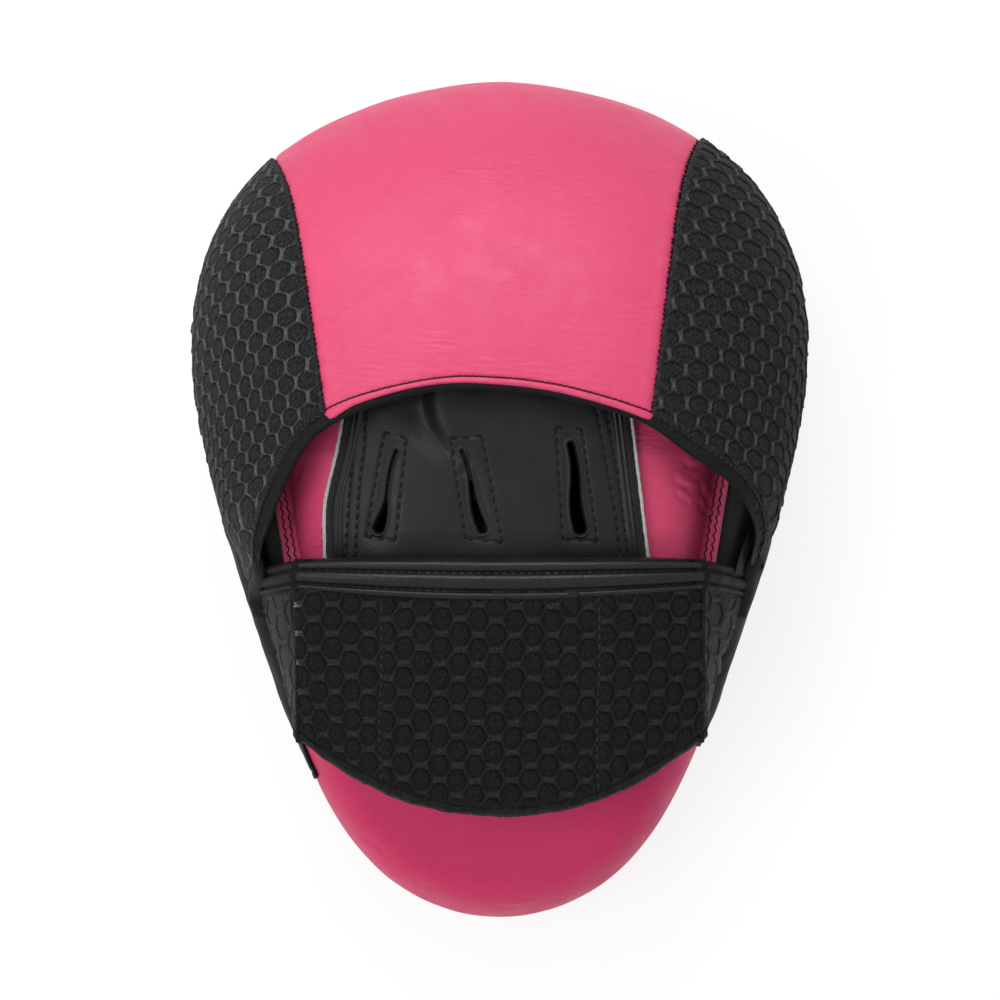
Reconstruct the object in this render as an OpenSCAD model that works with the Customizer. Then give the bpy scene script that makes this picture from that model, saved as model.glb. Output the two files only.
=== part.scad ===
// Curved focus mitt for the left hand, lying on its striking face.
// +Y points to the fingertips, +Z out of the back of the hand, +X to the thumb side.
// The origin is under the middle of the pad, on the surface that it lies on.

/* [Pad] */
// Length of the pad from the heel to the fingertip end
pad_length = 260; // [252:1:266]
// Width of the pad at half its length
mid_width = 173; // [168:1:178]
// How much wider the pad is towards the fingertips
head_taper = 0.40; // [0.37:0.01:0.43]
// Fullness of both ends of the outline
end_fullness = 0.23; // [0.21:0.01:0.26]
// How far the widest place is pulled back from the fingertip end
shoulder_pull = 0.16; // [0.13:0.01:0.19]
// Thickness of the pad, from the striking face to its back
pad_thickness = 36; // [34:1:39]
// Radius to which the striking face is hollowed along its length
face_radius = 420; // [400:5:480]
// Height of the widest place of the side wall above the striking face
belly_height = 16; // [14:0.5:18]
// How far the front edge is rounded in from the side wall
front_round = 8; // [6:0.5:9]
// How far the back edge is rounded in from the side wall
back_round = 12; // [10:0.5:14]
// Thickness of the synthetic leather
leather = 1.2; // [1:0.1:1.5]
// Diameter of the piping in the front seam
piping_d = 3; // [2.4:0.2:3.4]
// Diameter of the target disc on the striking face
target_d = 64; // [50:1:80]

/* [Foam] */
// Thickness of the firm foam behind the striking face
front_foam = 12; // [10:0.5:13]
// Thickness of the shock absorbing foam in the middle
middle_foam = 10; // [8:0.5:11]

/* [Palm] */
// Distance of the palm panel's edge from the pad's outline
palm_inset = 12; // [12:0.5:14]
// Distance of the palm panel's lower edge below the pad's middle
palm_drop = 70; // [64:1:74]
// Thickness of the textile linings
lining = 1; // [0.8:0.1:1.3]
// Radius of the palm ball where it meets the palm
ball_r = 27; // [24:1:30]
// Height of the palm ball
ball_height = 11; // [9:0.5:13]
// Distance of the palm ball's centre below the pad's middle
ball_drop = 14; // [8:1:20]

/* [Glove] */
// Height of the hand glove over the palm panel
glove_rise = 28; // [26:0.5:31]
// Half width of the glove at the knuckles
glove_half_width = 68; // [66:0.5:69]
// Length of the glove above the pad's middle, to the fingertips
glove_reach = 100; // [95:1:103]
// Length of the glove below the pad's middle, to the wrist
glove_tail = 58; // [54:1:62]
// Width of the flange that is sewn to the palm panel
flange_width = 4; // [3:0.5:5]
// Distance from the middle to the back panel's little finger edge
back_left = 52; // [50:0.5:54]
// Distance from the middle to the back panel's thumb edge
back_right = 45; // [43:0.5:47]
// Thickness of the glove's back panel
back_panel = 2.2; // [1.8:0.1:2.6]
// Width of the vents between the fingers
vent_width = 3; // [2:0.2:4]
// Length of the vents between the fingers
vent_length = 26; // [22:1:28]

/* [Hood] */
// Thickness of the spacer mesh
mesh = 2.4; // [2:0.1:2.8]
// Thickness of the hood's foam
hood_foam_t = 6; // [5:0.5:7]
// Room between the glove and the hood
hood_room = 2; // [1.5:0.5:4]
// Height of the opening's crown above the pad's middle
opening_crown = 32; // [30:0.5:34]
// Distance of the opening's ends below the pad's middle
opening_foot = 28; // [26:0.5:30]
// Half width of the opening on the thumb side
opening_right = 81; // [80:0.5:82]
// Half width of the opening on the little finger side
opening_left = 79; // [78:0.5:80]
// Width of the tape that binds the opening at its crown
tape_width = 3.2; // [2.8:0.1:4]
// Diameter of the rolled edge of the hood's centre panel
welt_d = 2.6; // [2.2:0.1:3]

/* [Cuff] */
// Half width of the cuff's front between its two seams
cuff_half_width = 59.5; // [58:0.5:61]
// Distance of the cuff's upper edge below the pad's middle
cuff_top = 17.5; // [17:0.5:20]
// Distance of the cuff's lower edge below the pad's middle
cuff_bottom = 96; // [93:0.5:98]
// How far the cuff's lower edge rises from its middle to its seams
cuff_scoop = 22; // [19:0.5:25]
// How far the cuff's lower edge lies below its upper edge in height
cuff_slope = 9; // [7:0.5:11]
// Thickness of the cuff's foam
cuff_foam_t = 4; // [3:0.5:5]
// Width of the binding on the cuff's upper edge
binding_width = 8; // [7:0.5:9]
// Diameter of the hem on the cuff's lower edge
hem_d = 4; // [3:0.25:4.5]

/* [Hidden] */

pink = [0.90, 0.30, 0.46];
black = [0.13, 0.13, 0.14];
foam_grey = [0.62, 0.62, 0.60];

clear = 0.3;           // room between two layers
ring_step = 5;         // degrees between two points of the outline
half_length = pad_length / 2;

// Heights are measured square to the striking face.
seat_angle = 40;       // where the covers are sewn, as an angle round the back edge
seat_h = belly_height + (pad_thickness - belly_height) * sin(seat_angle);
seat_inset = back_round * (1 - cos(seat_angle));
seam_angle = 65;       // where the cover ends, as an angle round the front edge
seam_h = belly_height * (1 - sin(seam_angle));
seam_inset = front_round * (1 - cos(seam_angle));
piping_inset = seam_inset + piping_d / 2 + clear;
piping_h = seam_h;
face_inset = piping_inset + piping_d / 2 + clear;
face_edge_fall = sqrt(pow(face_radius + piping_h, 2) - pow(half_length - piping_inset, 2));
floor_z = face_edge_fall - piping_d / 2;

palm_h = pad_thickness + clear;
lining_h = palm_h + leather + clear;
glove_h = palm_h + leather + clear;
glove_top_h = glove_h + glove_rise;
cavity_h = lining_h + lining;
glove_side_d = back_panel + clear;
glove_lining_d = glove_side_d + leather + 2 * clear;
seat_gap = 0.8;        // room between the hood's rim and the pad's wall
hood_out = seat_inset - seat_gap - mesh;
hood_foam_d = mesh + 2 * clear;
hood_lining_d = hood_foam_d + hood_foam_t + clear;
hood_stack = hood_lining_d + lining;
hood_rise = (glove_top_h + hood_room + hood_stack - seat_h) * 1.05;
cuff_stack = mesh + clear + cuff_foam_t + clear + lining;
cuff_h = glove_top_h + 2 * clear + 1 + cuff_stack;

// ---- Outline, bend and side profile of the pad ----

function mix(a, b, u) = a * (1 - u) + b * u;
function power(base, exponent) = pow(max(base, 0), exponent);
function steps(from, to, count) = [for (i = [0:count]) mix(from, to, i / count)];
function half_width(s) =
    mid_width / 2 * (1 + head_taper * s + end_fullness * s * s - shoulder_pull * s * s * s);
function rim(t, inset = 0) =
    [(half_width(sin(t)) - inset) * cos(t), (half_length - inset) * sin(t)];
function radial(x, y, inset = 0) =
    let (s = y / (half_length - inset)) norm([x / (half_width(s) - inset), s]);
function bend(y, h) = sqrt(pow(face_radius + h, 2) - y * y) - floor_z;
function lifted(p, h) = [p.x, p.y, bend(p.y, h)];
function side_inset(h) = h < belly_height
    ? front_round * (1 - sqrt(1 - pow((belly_height - h) / belly_height, 2)))
    : back_round * (1 - sqrt(1 - pow((h - belly_height) / (pad_thickness - belly_height), 2)));
function outline_t(y) = asin(y / half_length);

// ---- Solids made from grids of points ----

function flat(rows) = [for (row = rows) for (p = row) p];
function quad(a, b, c, d) = [[a, b, c], [a, c, d]];

// A closed sheet between two grids. Rows run along +Y and columns along +X.
module sheet(top, bottom) {
    rows = len(top);
    cols = len(top[0]);
    count = rows * cols;
    function at(i, j) = i * cols + j;
    function under(i, j) = count + at(i, j);
    faces = [
        for (i = [0:rows - 2]) for (j = [0:cols - 2]) each concat(
            quad(at(i, j), at(i + 1, j), at(i + 1, j + 1), at(i, j + 1)),
            quad(under(i, j), under(i, j + 1), under(i + 1, j + 1), under(i + 1, j))),
        for (i = [0:rows - 2]) each concat(
            quad(at(i, 0), under(i, 0), under(i + 1, 0), at(i + 1, 0)),
            quad(at(i, cols - 1), at(i + 1, cols - 1), under(i + 1, cols - 1), under(i, cols - 1))),
        for (j = [0:cols - 2]) each concat(
            quad(at(0, j), at(0, j + 1), under(0, j + 1), under(0, j)),
            quad(at(rows - 1, j), under(rows - 1, j), under(rows - 1, j + 1), at(rows - 1, j + 1)))
    ];
    polyhedron(points = concat(flat(top), flat(bottom)), faces = faces);
}

// A solid through rings of points, each the section at one place of a path.
module sweep(rings, closed = false) {
    size = len(rings[0]);
    count = len(rings);
    function at(i, j) = (i % count) * size + j % size;
    walls = [
        for (i = [0:count - (closed ? 1 : 2)]) for (j = [0:size - 1])
            each quad(at(i, j), at(i, j + 1), at(i + 1, j + 1), at(i + 1, j))
    ];
    caps = closed ? [] : [
        for (j = [1:size - 2]) each [[at(0, 0), at(0, j + 1), at(0, j)],
            [at(count - 1, 0), at(count - 1, j), at(count - 1, j + 1)]]
    ];
    polyhedron(points = flat(rings), faces = concat(walls, caps));
}

// A closed shell of revolution-like rings that ends in a middle point at the top.
module dome(outer, inner, outer_tip, inner_tip) {
    rows = len(outer);
    cols = len(outer[0]);
    count = rows * cols;
    function at(i, j) = i * cols + j % cols;
    function under(i, j) = count + at(i, j);
    tip = 2 * count;
    faces = [
        for (i = [0:rows - 2]) for (j = [0:cols - 1]) each concat(
            quad(at(i, j), at(i + 1, j), at(i + 1, j + 1), at(i, j + 1)),
            quad(under(i, j), under(i, j + 1), under(i + 1, j + 1), under(i + 1, j))),
        for (j = [0:cols - 1]) each concat(
            quad(at(0, j), at(0, j + 1), under(0, j + 1), under(0, j)),
            [[at(rows - 1, j), tip, at(rows - 1, j + 1)]],
            [[under(rows - 1, j), under(rows - 1, j + 1), tip + 1]])
    ];
    polyhedron(points = concat(flat(outer), flat(inner), [outer_tip, inner_tip]), faces = faces);
}

// The points of a round section of diameter d, spanned by two directions.
function round_section(centre, side, up, d, count = 8) =
    [for (k = [0:count - 1]) centre + d / 2 * (side * cos(k * 360 / count) + up * sin(k * 360 / count))];

// ---- Pad ----

module bent_layer(h_low, h_high) {
    bar = pad_length;
    translate([0, 0, -floor_z]) rotate([0, 90, 0]) difference() {
        cylinder(r = face_radius + h_high, h = bar, center = true, $fn = 360);
        cylinder(r = face_radius + h_low, h = 2 * bar, center = true, $fn = 360);
    }
}

module outline_block(inset) {
    linear_extrude(height = pad_length)
        polygon([for (t = [0:ring_step:359]) rim(t, inset)]);
}

module pad_slab(h_low, h_high, inset) {
    intersection() {
        outline_block(inset);
        bent_layer(h_low, h_high);
    }
}

// Rings of the cover's surface, d in from its outside
function cover_rings(d) = let (
        angles = [-seam_angle, -40, -15, 12, seat_angle, 55, 72, 90],
        reaches = [for (a = angles) a < 0
            ? [front_round * (1 - cos(a)) + d * cos(a), belly_height * (1 + sin(a)) - d * sin(a)]
            : [back_round * (1 - cos(a)) + d * cos(a),
                belly_height + (pad_thickness - belly_height) * sin(a) - d * sin(a)]]
    ) concat(
        [for (r = reaches) [for (t = [0:ring_step:359]) lifted(rim(t, r.x), r.y)]],
        [for (s = [0.88, 0.74, 0.6, 0.46, 0.32, 0.16])
            [for (t = [0:ring_step:359]) lifted(rim(t, back_round) * s, pad_thickness - d)]]);

module pad_cover() {
    color(pink) dome(cover_rings(0), cover_rings(leather),
        [0, 0, bend(0, pad_thickness)], [0, 0, bend(0, pad_thickness - leather)]);
}

module face_panel() {
    color(pink) pad_slab(0, leather, face_inset);
}

module target_disc() {
    color(black) intersection() {
        cylinder(d = target_d, h = pad_length);
        bent_layer(-leather - 0.1, -0.1);
    }
}

module face_piping() {
    color(black) sweep([
        for (t = [0:ring_step:359]) round_section(lifted(rim(t, piping_inset), piping_h),
            [cos(t), sin(t), 0], [0, 0, 1], piping_d)
    ], closed = true);
}

// Each block of foam is as wide as the cover is inside at both of its faces.
module foam_block(h_low, h_high) {
    pad_slab(h_low, h_high, max(side_inset(h_low), side_inset(h_high)) + leather + 2 * clear);
}

foam_low = leather + clear;
foam_split = foam_low + front_foam + clear;
foam_upper = foam_split + middle_foam + clear;
foam_top = pad_thickness - leather - clear;

module front_foam() {
    color(foam_grey) pad_slab(foam_low, foam_split - clear, face_inset);
}

module middle_foam() {
    color(foam_grey) foam_block(foam_split, foam_upper - clear);
}

module back_foam() {
    color(foam_grey) pad_slab(foam_upper, foam_top, back_round);
}

// ---- Palm ----

module palm_region(inset, h_low, h_high) {
    intersection() {
        pad_slab(h_low, h_high, inset);
        translate([-pad_length / 2, -palm_drop, 0]) cube([pad_length, pad_length, pad_length]);
    }
}

module palm_panel() {
    color(black) palm_region(palm_inset, palm_h, palm_h + leather);
}

module palm_lining() {
    places = concat(steps(-glove_tail, finger_y, 8), steps(finger_y + 6, 0.94 * glove_reach, 4));
    inset = glove_lining_d + lining + clear;
    edge = [for (y = places) [glove_w(y) - inset, y]];
    other = [for (k = [len(edge) - 1:-1:0]) [-edge[k].x, edge[k].y]];
    color(black) difference() {
        intersection() {
            linear_extrude(height = pad_length) polygon(concat(edge, other));
            bent_layer(lining_h, lining_h + lining);
        }
        translate([0, -ball_drop, 0]) cylinder(r = ball_r + ball_room, h = pad_length, $fn = 60);
    }
}

ball_room = 2.5;       // room round the palm ball in the lining
ball_sphere = (ball_r * ball_r + ball_height * ball_height) / (2 * ball_height);
ball_z = bend(ball_drop, lining_h) + ball_height - ball_sphere;

module ball(radius) {
    difference() {
        translate([0, -ball_drop, ball_z]) sphere(r = radius, $fn = 90);
        translate([0, 0, -floor_z]) rotate([0, 90, 0])
            cylinder(r = face_radius + lining_h, h = 2 * pad_length, center = true, $fn = 360);
    }
}

module palm_ball_core() {
    color(foam_grey) ball(ball_sphere - leather - clear);
}

module palm_ball_cover() {
    color(black) difference() {
        ball(ball_sphere);
        translate([0, -ball_drop, ball_z]) sphere(r = ball_sphere - leather, $fn = 90);
    }
}

// ---- Glove ----

knuckle_y = 14;        // where the glove is widest
finger_y = 60;         // where the fingertips begin to round off
wrist_y = -10;         // below this the glove gets lower
function glove_round(y) =
    sqrt(1 - power((y - finger_y) / (glove_reach + 1 - finger_y), 2)) ;
wrist_taper = 0.16;    // how fast the glove narrows towards the wrist
finger_taper = 0.26;   // how fast it narrows towards the fingertips
panel_taper = 0.12;    // how fast the back panel narrows towards the fingertips
function glove_w(y) = (y < knuckle_y
        ? glove_half_width - wrist_taper * (knuckle_y - y)
        : glove_half_width - finger_taper * (y - knuckle_y)) * glove_round(y);
function glove_r(y) = (glove_rise - 0.1 * max(0, wrist_y - y)) * glove_round(y);

// A point of the glove's surface at angle a round its arch, d in from the outside
function glove_point(a, y, d) = let (
        w = glove_w(y) - d,
        c = cos(a)
    ) lifted([sign(c) * w * power(abs(c), 2 / 3), y], glove_h + (glove_r(y) - d) * sin(a));
// The angle round the arch of a place x from the middle
function glove_angle(x, y, d = 0) = let (c = power(abs(x) / (glove_w(y) - d), 1.5)) x < 0
    ? 180 - acos(min(1, c)) : acos(min(1, c));
glove_rows = concat(steps(-glove_tail, finger_y, 9), [70, 80, 88, 94, 98] * glove_reach / 100);

function panel_x(side, y) = side * glove_round(y)
    * ((side < 0 ? back_left : back_right) - panel_taper * (max(y, -cuff_top) + cuff_top));

// The glove's arch between two places, which are functions of y
function glove_grid(left, right, d, count) = [for (y = glove_rows) [for (u = steps(0, 1, count))
    glove_point(mix(glove_angle(left(y), y), glove_angle(right(y), y), u), y, d)]];

// Each vent between two fingers: [distance from the middle, angle that it is turned by]
vents = [[-34, -11], [-8.5, 16], [22.5, 7]];
vent_y = 4;            // where the middle of the vents is

module vent_cutters() {
    for (v = vents) translate([v.x, vent_y, 0]) rotate([0, 0, v.y]) linear_extrude(height = pad_length)
        hull() {
            translate([0, vent_length / 2 - vent_width / 2]) circle(d = vent_width, $fn = 24);
            translate([0, -vent_length / 2 + vent_width / 2]) circle(d = vent_width, $fn = 24);
        }
}

module glove_back_panel() {
    left = function (y) panel_x(-1, y);
    right = function (y) panel_x(1, y);
    color(black) difference() {
        sheet(glove_grid(left, right, 0, 16), glove_grid(left, right, back_panel, 16));
        vent_cutters();
    }
}

tuck = 5;              // how far the side panels run under the back panel

// The side panel's section runs from under the back panel down the arch and out to the flange.
function side_section(side, y, d) = let (
        inner = glove_angle(panel_x(side, y) - side * tuck, y),
        foot = side < 0 ? 180 : 0,
        arch = [for (u = [0, 0.2, 0.35, 0.5, 0.62, 0.73, 0.82, 0.9, 0.96]) glove_point(mix(inner, foot, u), y, d)],
        edge = glove_w(y) - glove_side_d,
        under = d > glove_side_d,
        flange = [for (reach = [under ? 0.4 : leather + 0.4, flange_width])
            lifted([side * (edge + reach), y], glove_h + (under ? 0 : leather))]
    ) side > 0 ? concat(arch, flange)
        : let (all = concat(arch, flange)) [for (k = [len(all) - 1:-1:0]) all[k]];

module glove_side(side) {
    rows = [for (y = glove_rows) if (y < finger_y + 30) y];
    color(pink) sheet([for (y = rows) side_section(side, y, glove_side_d)],
        [for (y = rows) side_section(side, y, glove_side_d + leather)]);
}

module glove_side_left() {
    glove_side(-1);
}

module glove_side_right() {
    glove_side(1);
}

function arch_grid(d) = [for (y = glove_rows) [for (a = steps(172, 8, 18)) glove_point(a, y, d)]];

module glove_lining() {
    color(black) difference() {
        sheet(arch_grid(glove_lining_d), arch_grid(glove_lining_d + lining));
        vent_cutters();
    }
}

edge_width = 1.6;      // width of the bead along the back panel's edge

module glove_edge(side) {
    rows = [for (y = glove_rows) if (y < finger_y) y];
    near = function (y) panel_x(side, y) + side * clear;
    far = function (y) panel_x(side, y) + side * (clear + edge_width);
    left = side < 0 ? far : near;
    right = side < 0 ? near : far;
    function grid(d) = [for (y = rows) [for (x = [left(y), right(y)]) glove_point(glove_angle(x, y), y, d)]];
    color(black) sheet(grid(-0.4), grid(back_panel));
}

module glove_edge_left() {
    glove_edge(-1);
}

module glove_edge_right() {
    glove_edge(1);
}

divider_t = 1.2;       // thickness of the walls between the fingers

// A wall from the palm lining up to the glove's lining
module divider(x, y_from, y_to) {
    rows = steps(y_from, y_to, 6);
    sides = [x - divider_t / 2, x + divider_t / 2];
    inner = glove_lining_d + lining + 2 * clear;
    function roof(y) = let (far = max(abs(sides[0]), abs(sides[1])))
        glove_point(glove_angle(far, y, inner), y, inner).z;
    sheet([for (y = rows) [for (s = sides) [s, y, roof(y)]]],
        [for (y = rows) [for (s = sides) [s, y, bend(y, cavity_h + clear)]]]);
}

module finger_dividers() {
    color(black) for (v = vents) divider(v.x, vent_y + vent_length, finger_y + 10);
}

module thumb_divider() {
    color(black) divider(back_right - 3, vent_y, finger_y - 5);
}

// ---- Hood ----

// Each line from the opening to the rim has an angle round the opening, an angle round the
// outline, and the distance that it turns outwards at the rim.
tip_right = [16, -8.5, 0];
tip_left = [164, 188.5, 0];
seam_right = [60.5, 59.2, 5];
seam_left = [124.5, 125.8, -5];
foam_right = [34, 14, 0];
foam_left = [146, 166, 0];
side_fullness = 2.4;   // exponent of the opening's curve across
crown_fullness = 1.8;  // exponent of the opening's curve along
// The hood's layers start this far from the opening. The tape's wider stretches narrow at the tips.
layer_start = tape_width + welt_d + 2 * clear;
tip_start = 2.6;
tip_spread = 18;       // angle from a tip to where the tape has its full width
function layer_edge(a) = mix(tip_start, layer_start,
    min(1, (min(a, 180 - a) - tip_right[0]) / tip_spread));

// The curve of the opening, and the same curve moved outwards by grow
function opening_edge(a) = [
    sign(cos(a)) * (cos(a) < 0 ? opening_left : opening_right) * power(abs(cos(a)), 2 / side_fullness),
    -opening_foot + (opening_crown + opening_foot) * power(sin(a), 2 / crown_fullness)];
function opening(a, grow = 0) = let (
        along = opening_edge(a + 1) - opening_edge(a - 1)
    ) opening_edge(a) + grow * [along.y, -along.x] / norm(along);

// A place v (0 at the opening, 1 at the rim) along the line at u (0 to 1) between two lines
function hood_plan(from, to, u, v, edge, pull) = let (
        line = mix(from, to, u),
        p = mix(opening(line[0], layer_edge(line[0])), rim(line[1], edge), v)
    ) [p.x - line[2] * (v - pow(v, 9)) + mix(-pull, pull, u), p.y];

function hood_h(x, y, d) =
    seat_h + (hood_rise - d) * sqrt(power(1 - power(radial(x, y, hood_out + d), 3), 1));
function on_hood(p, d) = lifted(p, hood_h(p.x, p.y, d));

// A patch of the hood between two lines, d in from the outside
function hood_patch(from, to, d, cols, rows, edge, pull) = [
    for (v = steps(0, 90, rows)) [for (u = steps(1, 0, cols))
        on_hood(hood_plan(from, to, u, sin(v), edge > 0 ? edge : hood_out + d, pull), d)]
];

module hood_layer(from, to, d, thickness, cols, rows, edge = 0, pull = 0) {
    sheet(hood_patch(from, to, d, cols, rows, edge, pull),
        hood_patch(from, to, d + thickness, cols, rows, edge, pull));
}

panel_d = mesh - leather;   // how far the centre panel lies below the mesh

module hood_panel() {
    color(pink) hood_layer(seam_right, seam_left, panel_d, leather, 14, 10, pull = clear / 2);
}

module hood_mesh_left() {
    color(black) hood_layer(seam_left, tip_left, 0, mesh, 12, 10);
}

module hood_mesh_right() {
    color(black) hood_layer(tip_right, seam_right, 0, mesh, 12, 10);
}

foam_inset = 17;       // distance of the hood foam's edge from the outline

module hood_foam() {
    color(foam_grey) hood_layer(foam_right, foam_left, hood_foam_d, hood_foam_t, 24, 8, foam_inset);
}

module hood_lining() {
    color(black) hood_layer(foam_right, foam_left, hood_lining_d, lining, 24, 8, foam_inset);
}

// The tape rolls round the edge of the hood's layers. It is wider beside the centre panel.
tape_lift = panel_d + clear;        // how far the tape lies below the mesh

module hood_tape() {
    angles = concat(steps(tip_left[0], seam_left[0] + 1, 9), steps(seam_left[0] - 1, seam_right[0] + 1, 18),
        steps(seam_right[0] - 1, tip_right[0], 9));
    // Across the tape: share of its width, and share of its thickness that is rounded off
    profile = [[0, 0.3], [0.1, 0.1], [0.35, 0], [1, 0]];
    function beside(a) = a < seam_right[0] || a > seam_left[0];
    function reach(a) = beside(a) ? layer_edge(a) - clear : tape_width;
    function thickness(a) = mesh + (hood_stack - mesh - tape_lift) * power(sin(a), 1.2);
    function tape_side(down) = [for (c = profile) [for (a = angles)
        on_hood(opening(a, reach(a) * c[0]), beside(a) ? 0.4 : tape_lift)
            - [0, 0, thickness(a) * mix(c[1], 1 - c[1], down)]]];
    color(black) sheet(tape_side(0), tape_side(1));
}

module hood_welt() {
    angles = steps(seam_right[0] + 2.5, seam_left[0] - 2.5, 20);
    color(pink) sweep([
        for (a = angles) round_section(
            on_hood(opening(a, tape_width + clear + welt_d / 2), panel_d + welt_d / 2 - 0.8),
            [0, 1, 0], [0, 0, 1], welt_d)
    ]);
}

// ---- Cuff ----

corner_drop = 0.13;    // how far the cuff falls from its crown to its seams, as a share of its rise
cuff_gap = 0.5;        // room between the cuff's panel and its binding and hem

// The cuff's surface at u (-1 to 1 across) and v (0 at its upper edge, 1 at its lower), d in
function cuff_upper(u) = -cuff_top - 1.5 * power(abs(u), 3);
function cuff_lower(u) = -cuff_bottom + cuff_scoop * power(abs(u), 2.2);
function cuff_fall(u) = 1 - corner_drop * power(abs(u), 3.5);
function cuff_surface(u, v, d) = lifted([u * cuff_half_width, mix(cuff_upper(u), cuff_lower(u), v)],
    seat_h + (cuff_h - seat_h - cuff_slope * v) * cuff_fall(u) - d);
// The share of the cuff's length that a distance from its upper edge is
function cuff_v(u, distance) = distance / (cuff_upper(u) - cuff_lower(u));

function cuff_row(share, d) = [for (u = steps(-1, 1, 18))
    cuff_surface(u, mix(cuff_v(u, binding_width + cuff_gap), 1 - cuff_v(u, hem_d + cuff_gap), share), d)];

module cuff_sheet(d, thickness) {
    shares = steps(1, 0, 7);
    sheet([for (share = shares) cuff_row(share, d)], [for (share = shares) cuff_row(share, d + thickness)]);
}

module cuff_panel() {
    color(black) cuff_sheet(0, mesh);
}

module cuff_foam() {
    color(foam_grey) cuff_sheet(mesh + clear, cuff_foam_t);
}

module cuff_lining() {
    color(black) cuff_sheet(cuff_stack - lining, lining);
}

// Along the binding: share of its width, and how far its ridged surface lies below the cuff's
binding_profile = [[1, 0.4], [0.9, 0], [0.8, 0.5], [0.68, -0.4], [0.5, -0.4], [0.4, 0.5],
    [0.28, -0.2], [0.12, 0.3], [0, 1.6]];

module cuff_binding() {
    function row(share, d) =
        [for (u = steps(-1, 1, 18)) cuff_surface(u, share * cuff_v(u, binding_width), d)];
    color(black) sheet([for (p = binding_profile) row(p[0], p[1])],
        [for (p = binding_profile) row(p[0], cuff_stack - p[1] / 3)]);
}

module cuff_hem() {
    color(black) sweep([
        for (u = steps(-1, 1, 20)) let (p = cuff_surface(u, 1 - cuff_v(u, hem_d / 2), cuff_stack / 2))
            [for (k = [7:-1:0]) p + [0, hem_d / 2 * cos(k * 45), cuff_stack / 2 * sin(k * 45)]]
    ]);
}

// ---- Gussets between the cuff's seams and the pad ----

gusset_inset = 2.5;    // distance of the gusset's foot from the outline
gusset_foot_top = 23;  // distance of its foot below the pad's middle, at its upper end
gusset_foot_low = 75;  // the same at its lower end
gusset_bulge = 1.2;    // how far the gusset is blown out
gusset_drop = 0.6;     // how far its upper edge lies below the cuff's corner
gusset_end = 0.97;     // where its lower edge is along the cuff

function back_h(inset) = belly_height
    + (pad_thickness - belly_height) * sqrt(1 - power(1 - inset / back_round, 2));

// The gusset's surface at w (0 at the cuff, 1 at the pad) and v along the cuff, d in
function gusset_point(side, w, v, d) = let (
        top = cuff_surface(side, v, gusset_drop),
        foot_y = -mix(gusset_foot_top, gusset_foot_low, v),
        foot = rim(outline_t(foot_y), gusset_inset),
        foot_z = bend(foot_y, back_h(gusset_inset + d) + 2 * clear),
        x = mix(abs(top.x) + clear + mesh, foot.x, w) + gusset_bulge * sin(180 * w) - d
    ) [side * x, mix(top.y, foot.y, w), mix(top.z, foot_z, w)];

module gusset_part(side, v_from, v_to, proud, rows) {
    function grid(d) = [for (v = steps(v_to, v_from, rows))
        [for (w = side > 0 ? steps(0, 1, 8) : steps(1, 0, 8)) gusset_point(side, w, v, d)]];
    color(black) sheet(grid(-proud), grid(mesh));
}

binding_end = cuff_v(1, binding_width);
gusset_start = cuff_v(1, binding_width + cuff_gap);

module gusset_left() {
    gusset_part(-1, gusset_start, gusset_end, 0, 7);
}

module gusset_right() {
    gusset_part(1, gusset_start, gusset_end, 0, 7);
}

module gusset_binding_left() {
    gusset_part(-1, 0, binding_end, 0.5, 3);
}

module gusset_binding_right() {
    gusset_part(1, 0, binding_end, 0.5, 3);
}

// ---- Black strips on the pad's side wall ----

strip_from = 20;       // distance of a strip's upper end below the pad's middle
strip_low = 3;         // height of its lower edge above the striking face
strip_high = 24;       // height of its upper edge

module side_strip(side, strip_to) {
    heights = side > 0 ? steps(strip_high, strip_low, 6) : steps(strip_low, strip_high, 6);
    function at(y, h, out) = let (p = rim(outline_t(y), side_inset(h) - clear - out))
        lifted([side * p.x, p.y], h);
    function grid(out) = [for (y = steps(-strip_to, -strip_from, 9)) [for (h = heights) at(y, h, out)]];
    color(black) sheet(grid(leather), grid(0));
}

module side_strip_left() {
    side_strip(-1, 86);
}

module side_strip_right() {
    side_strip(1, 76);
}

pad_cover();
face_panel();
target_disc();
face_piping();
front_foam();
middle_foam();
back_foam();
palm_panel();
palm_lining();
palm_ball_core();
palm_ball_cover();
glove_back_panel();
glove_side_left();
glove_side_right();
glove_lining();
glove_edge_left();
glove_edge_right();
finger_dividers();
thumb_divider();
hood_panel();
hood_mesh_left();
hood_mesh_right();
hood_foam();
hood_lining();
hood_tape();
hood_welt();
cuff_panel();
cuff_foam();
cuff_lining();
cuff_binding();
cuff_hem();
gusset_left();
gusset_right();
gusset_binding_left();
gusset_binding_right();
side_strip_left();
side_strip_right();
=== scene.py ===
"""Looks of the curved focus mitt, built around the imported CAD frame.

Lengths are in millimetres until a mesh is made, angles are in degrees.
+Y points to the fingertips, +Z out of the back of the hand, +X to the thumb side.
"""

import math

import bpy
import numpy as np
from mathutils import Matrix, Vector
from mathutils.bvhtree import BVHTree


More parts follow.
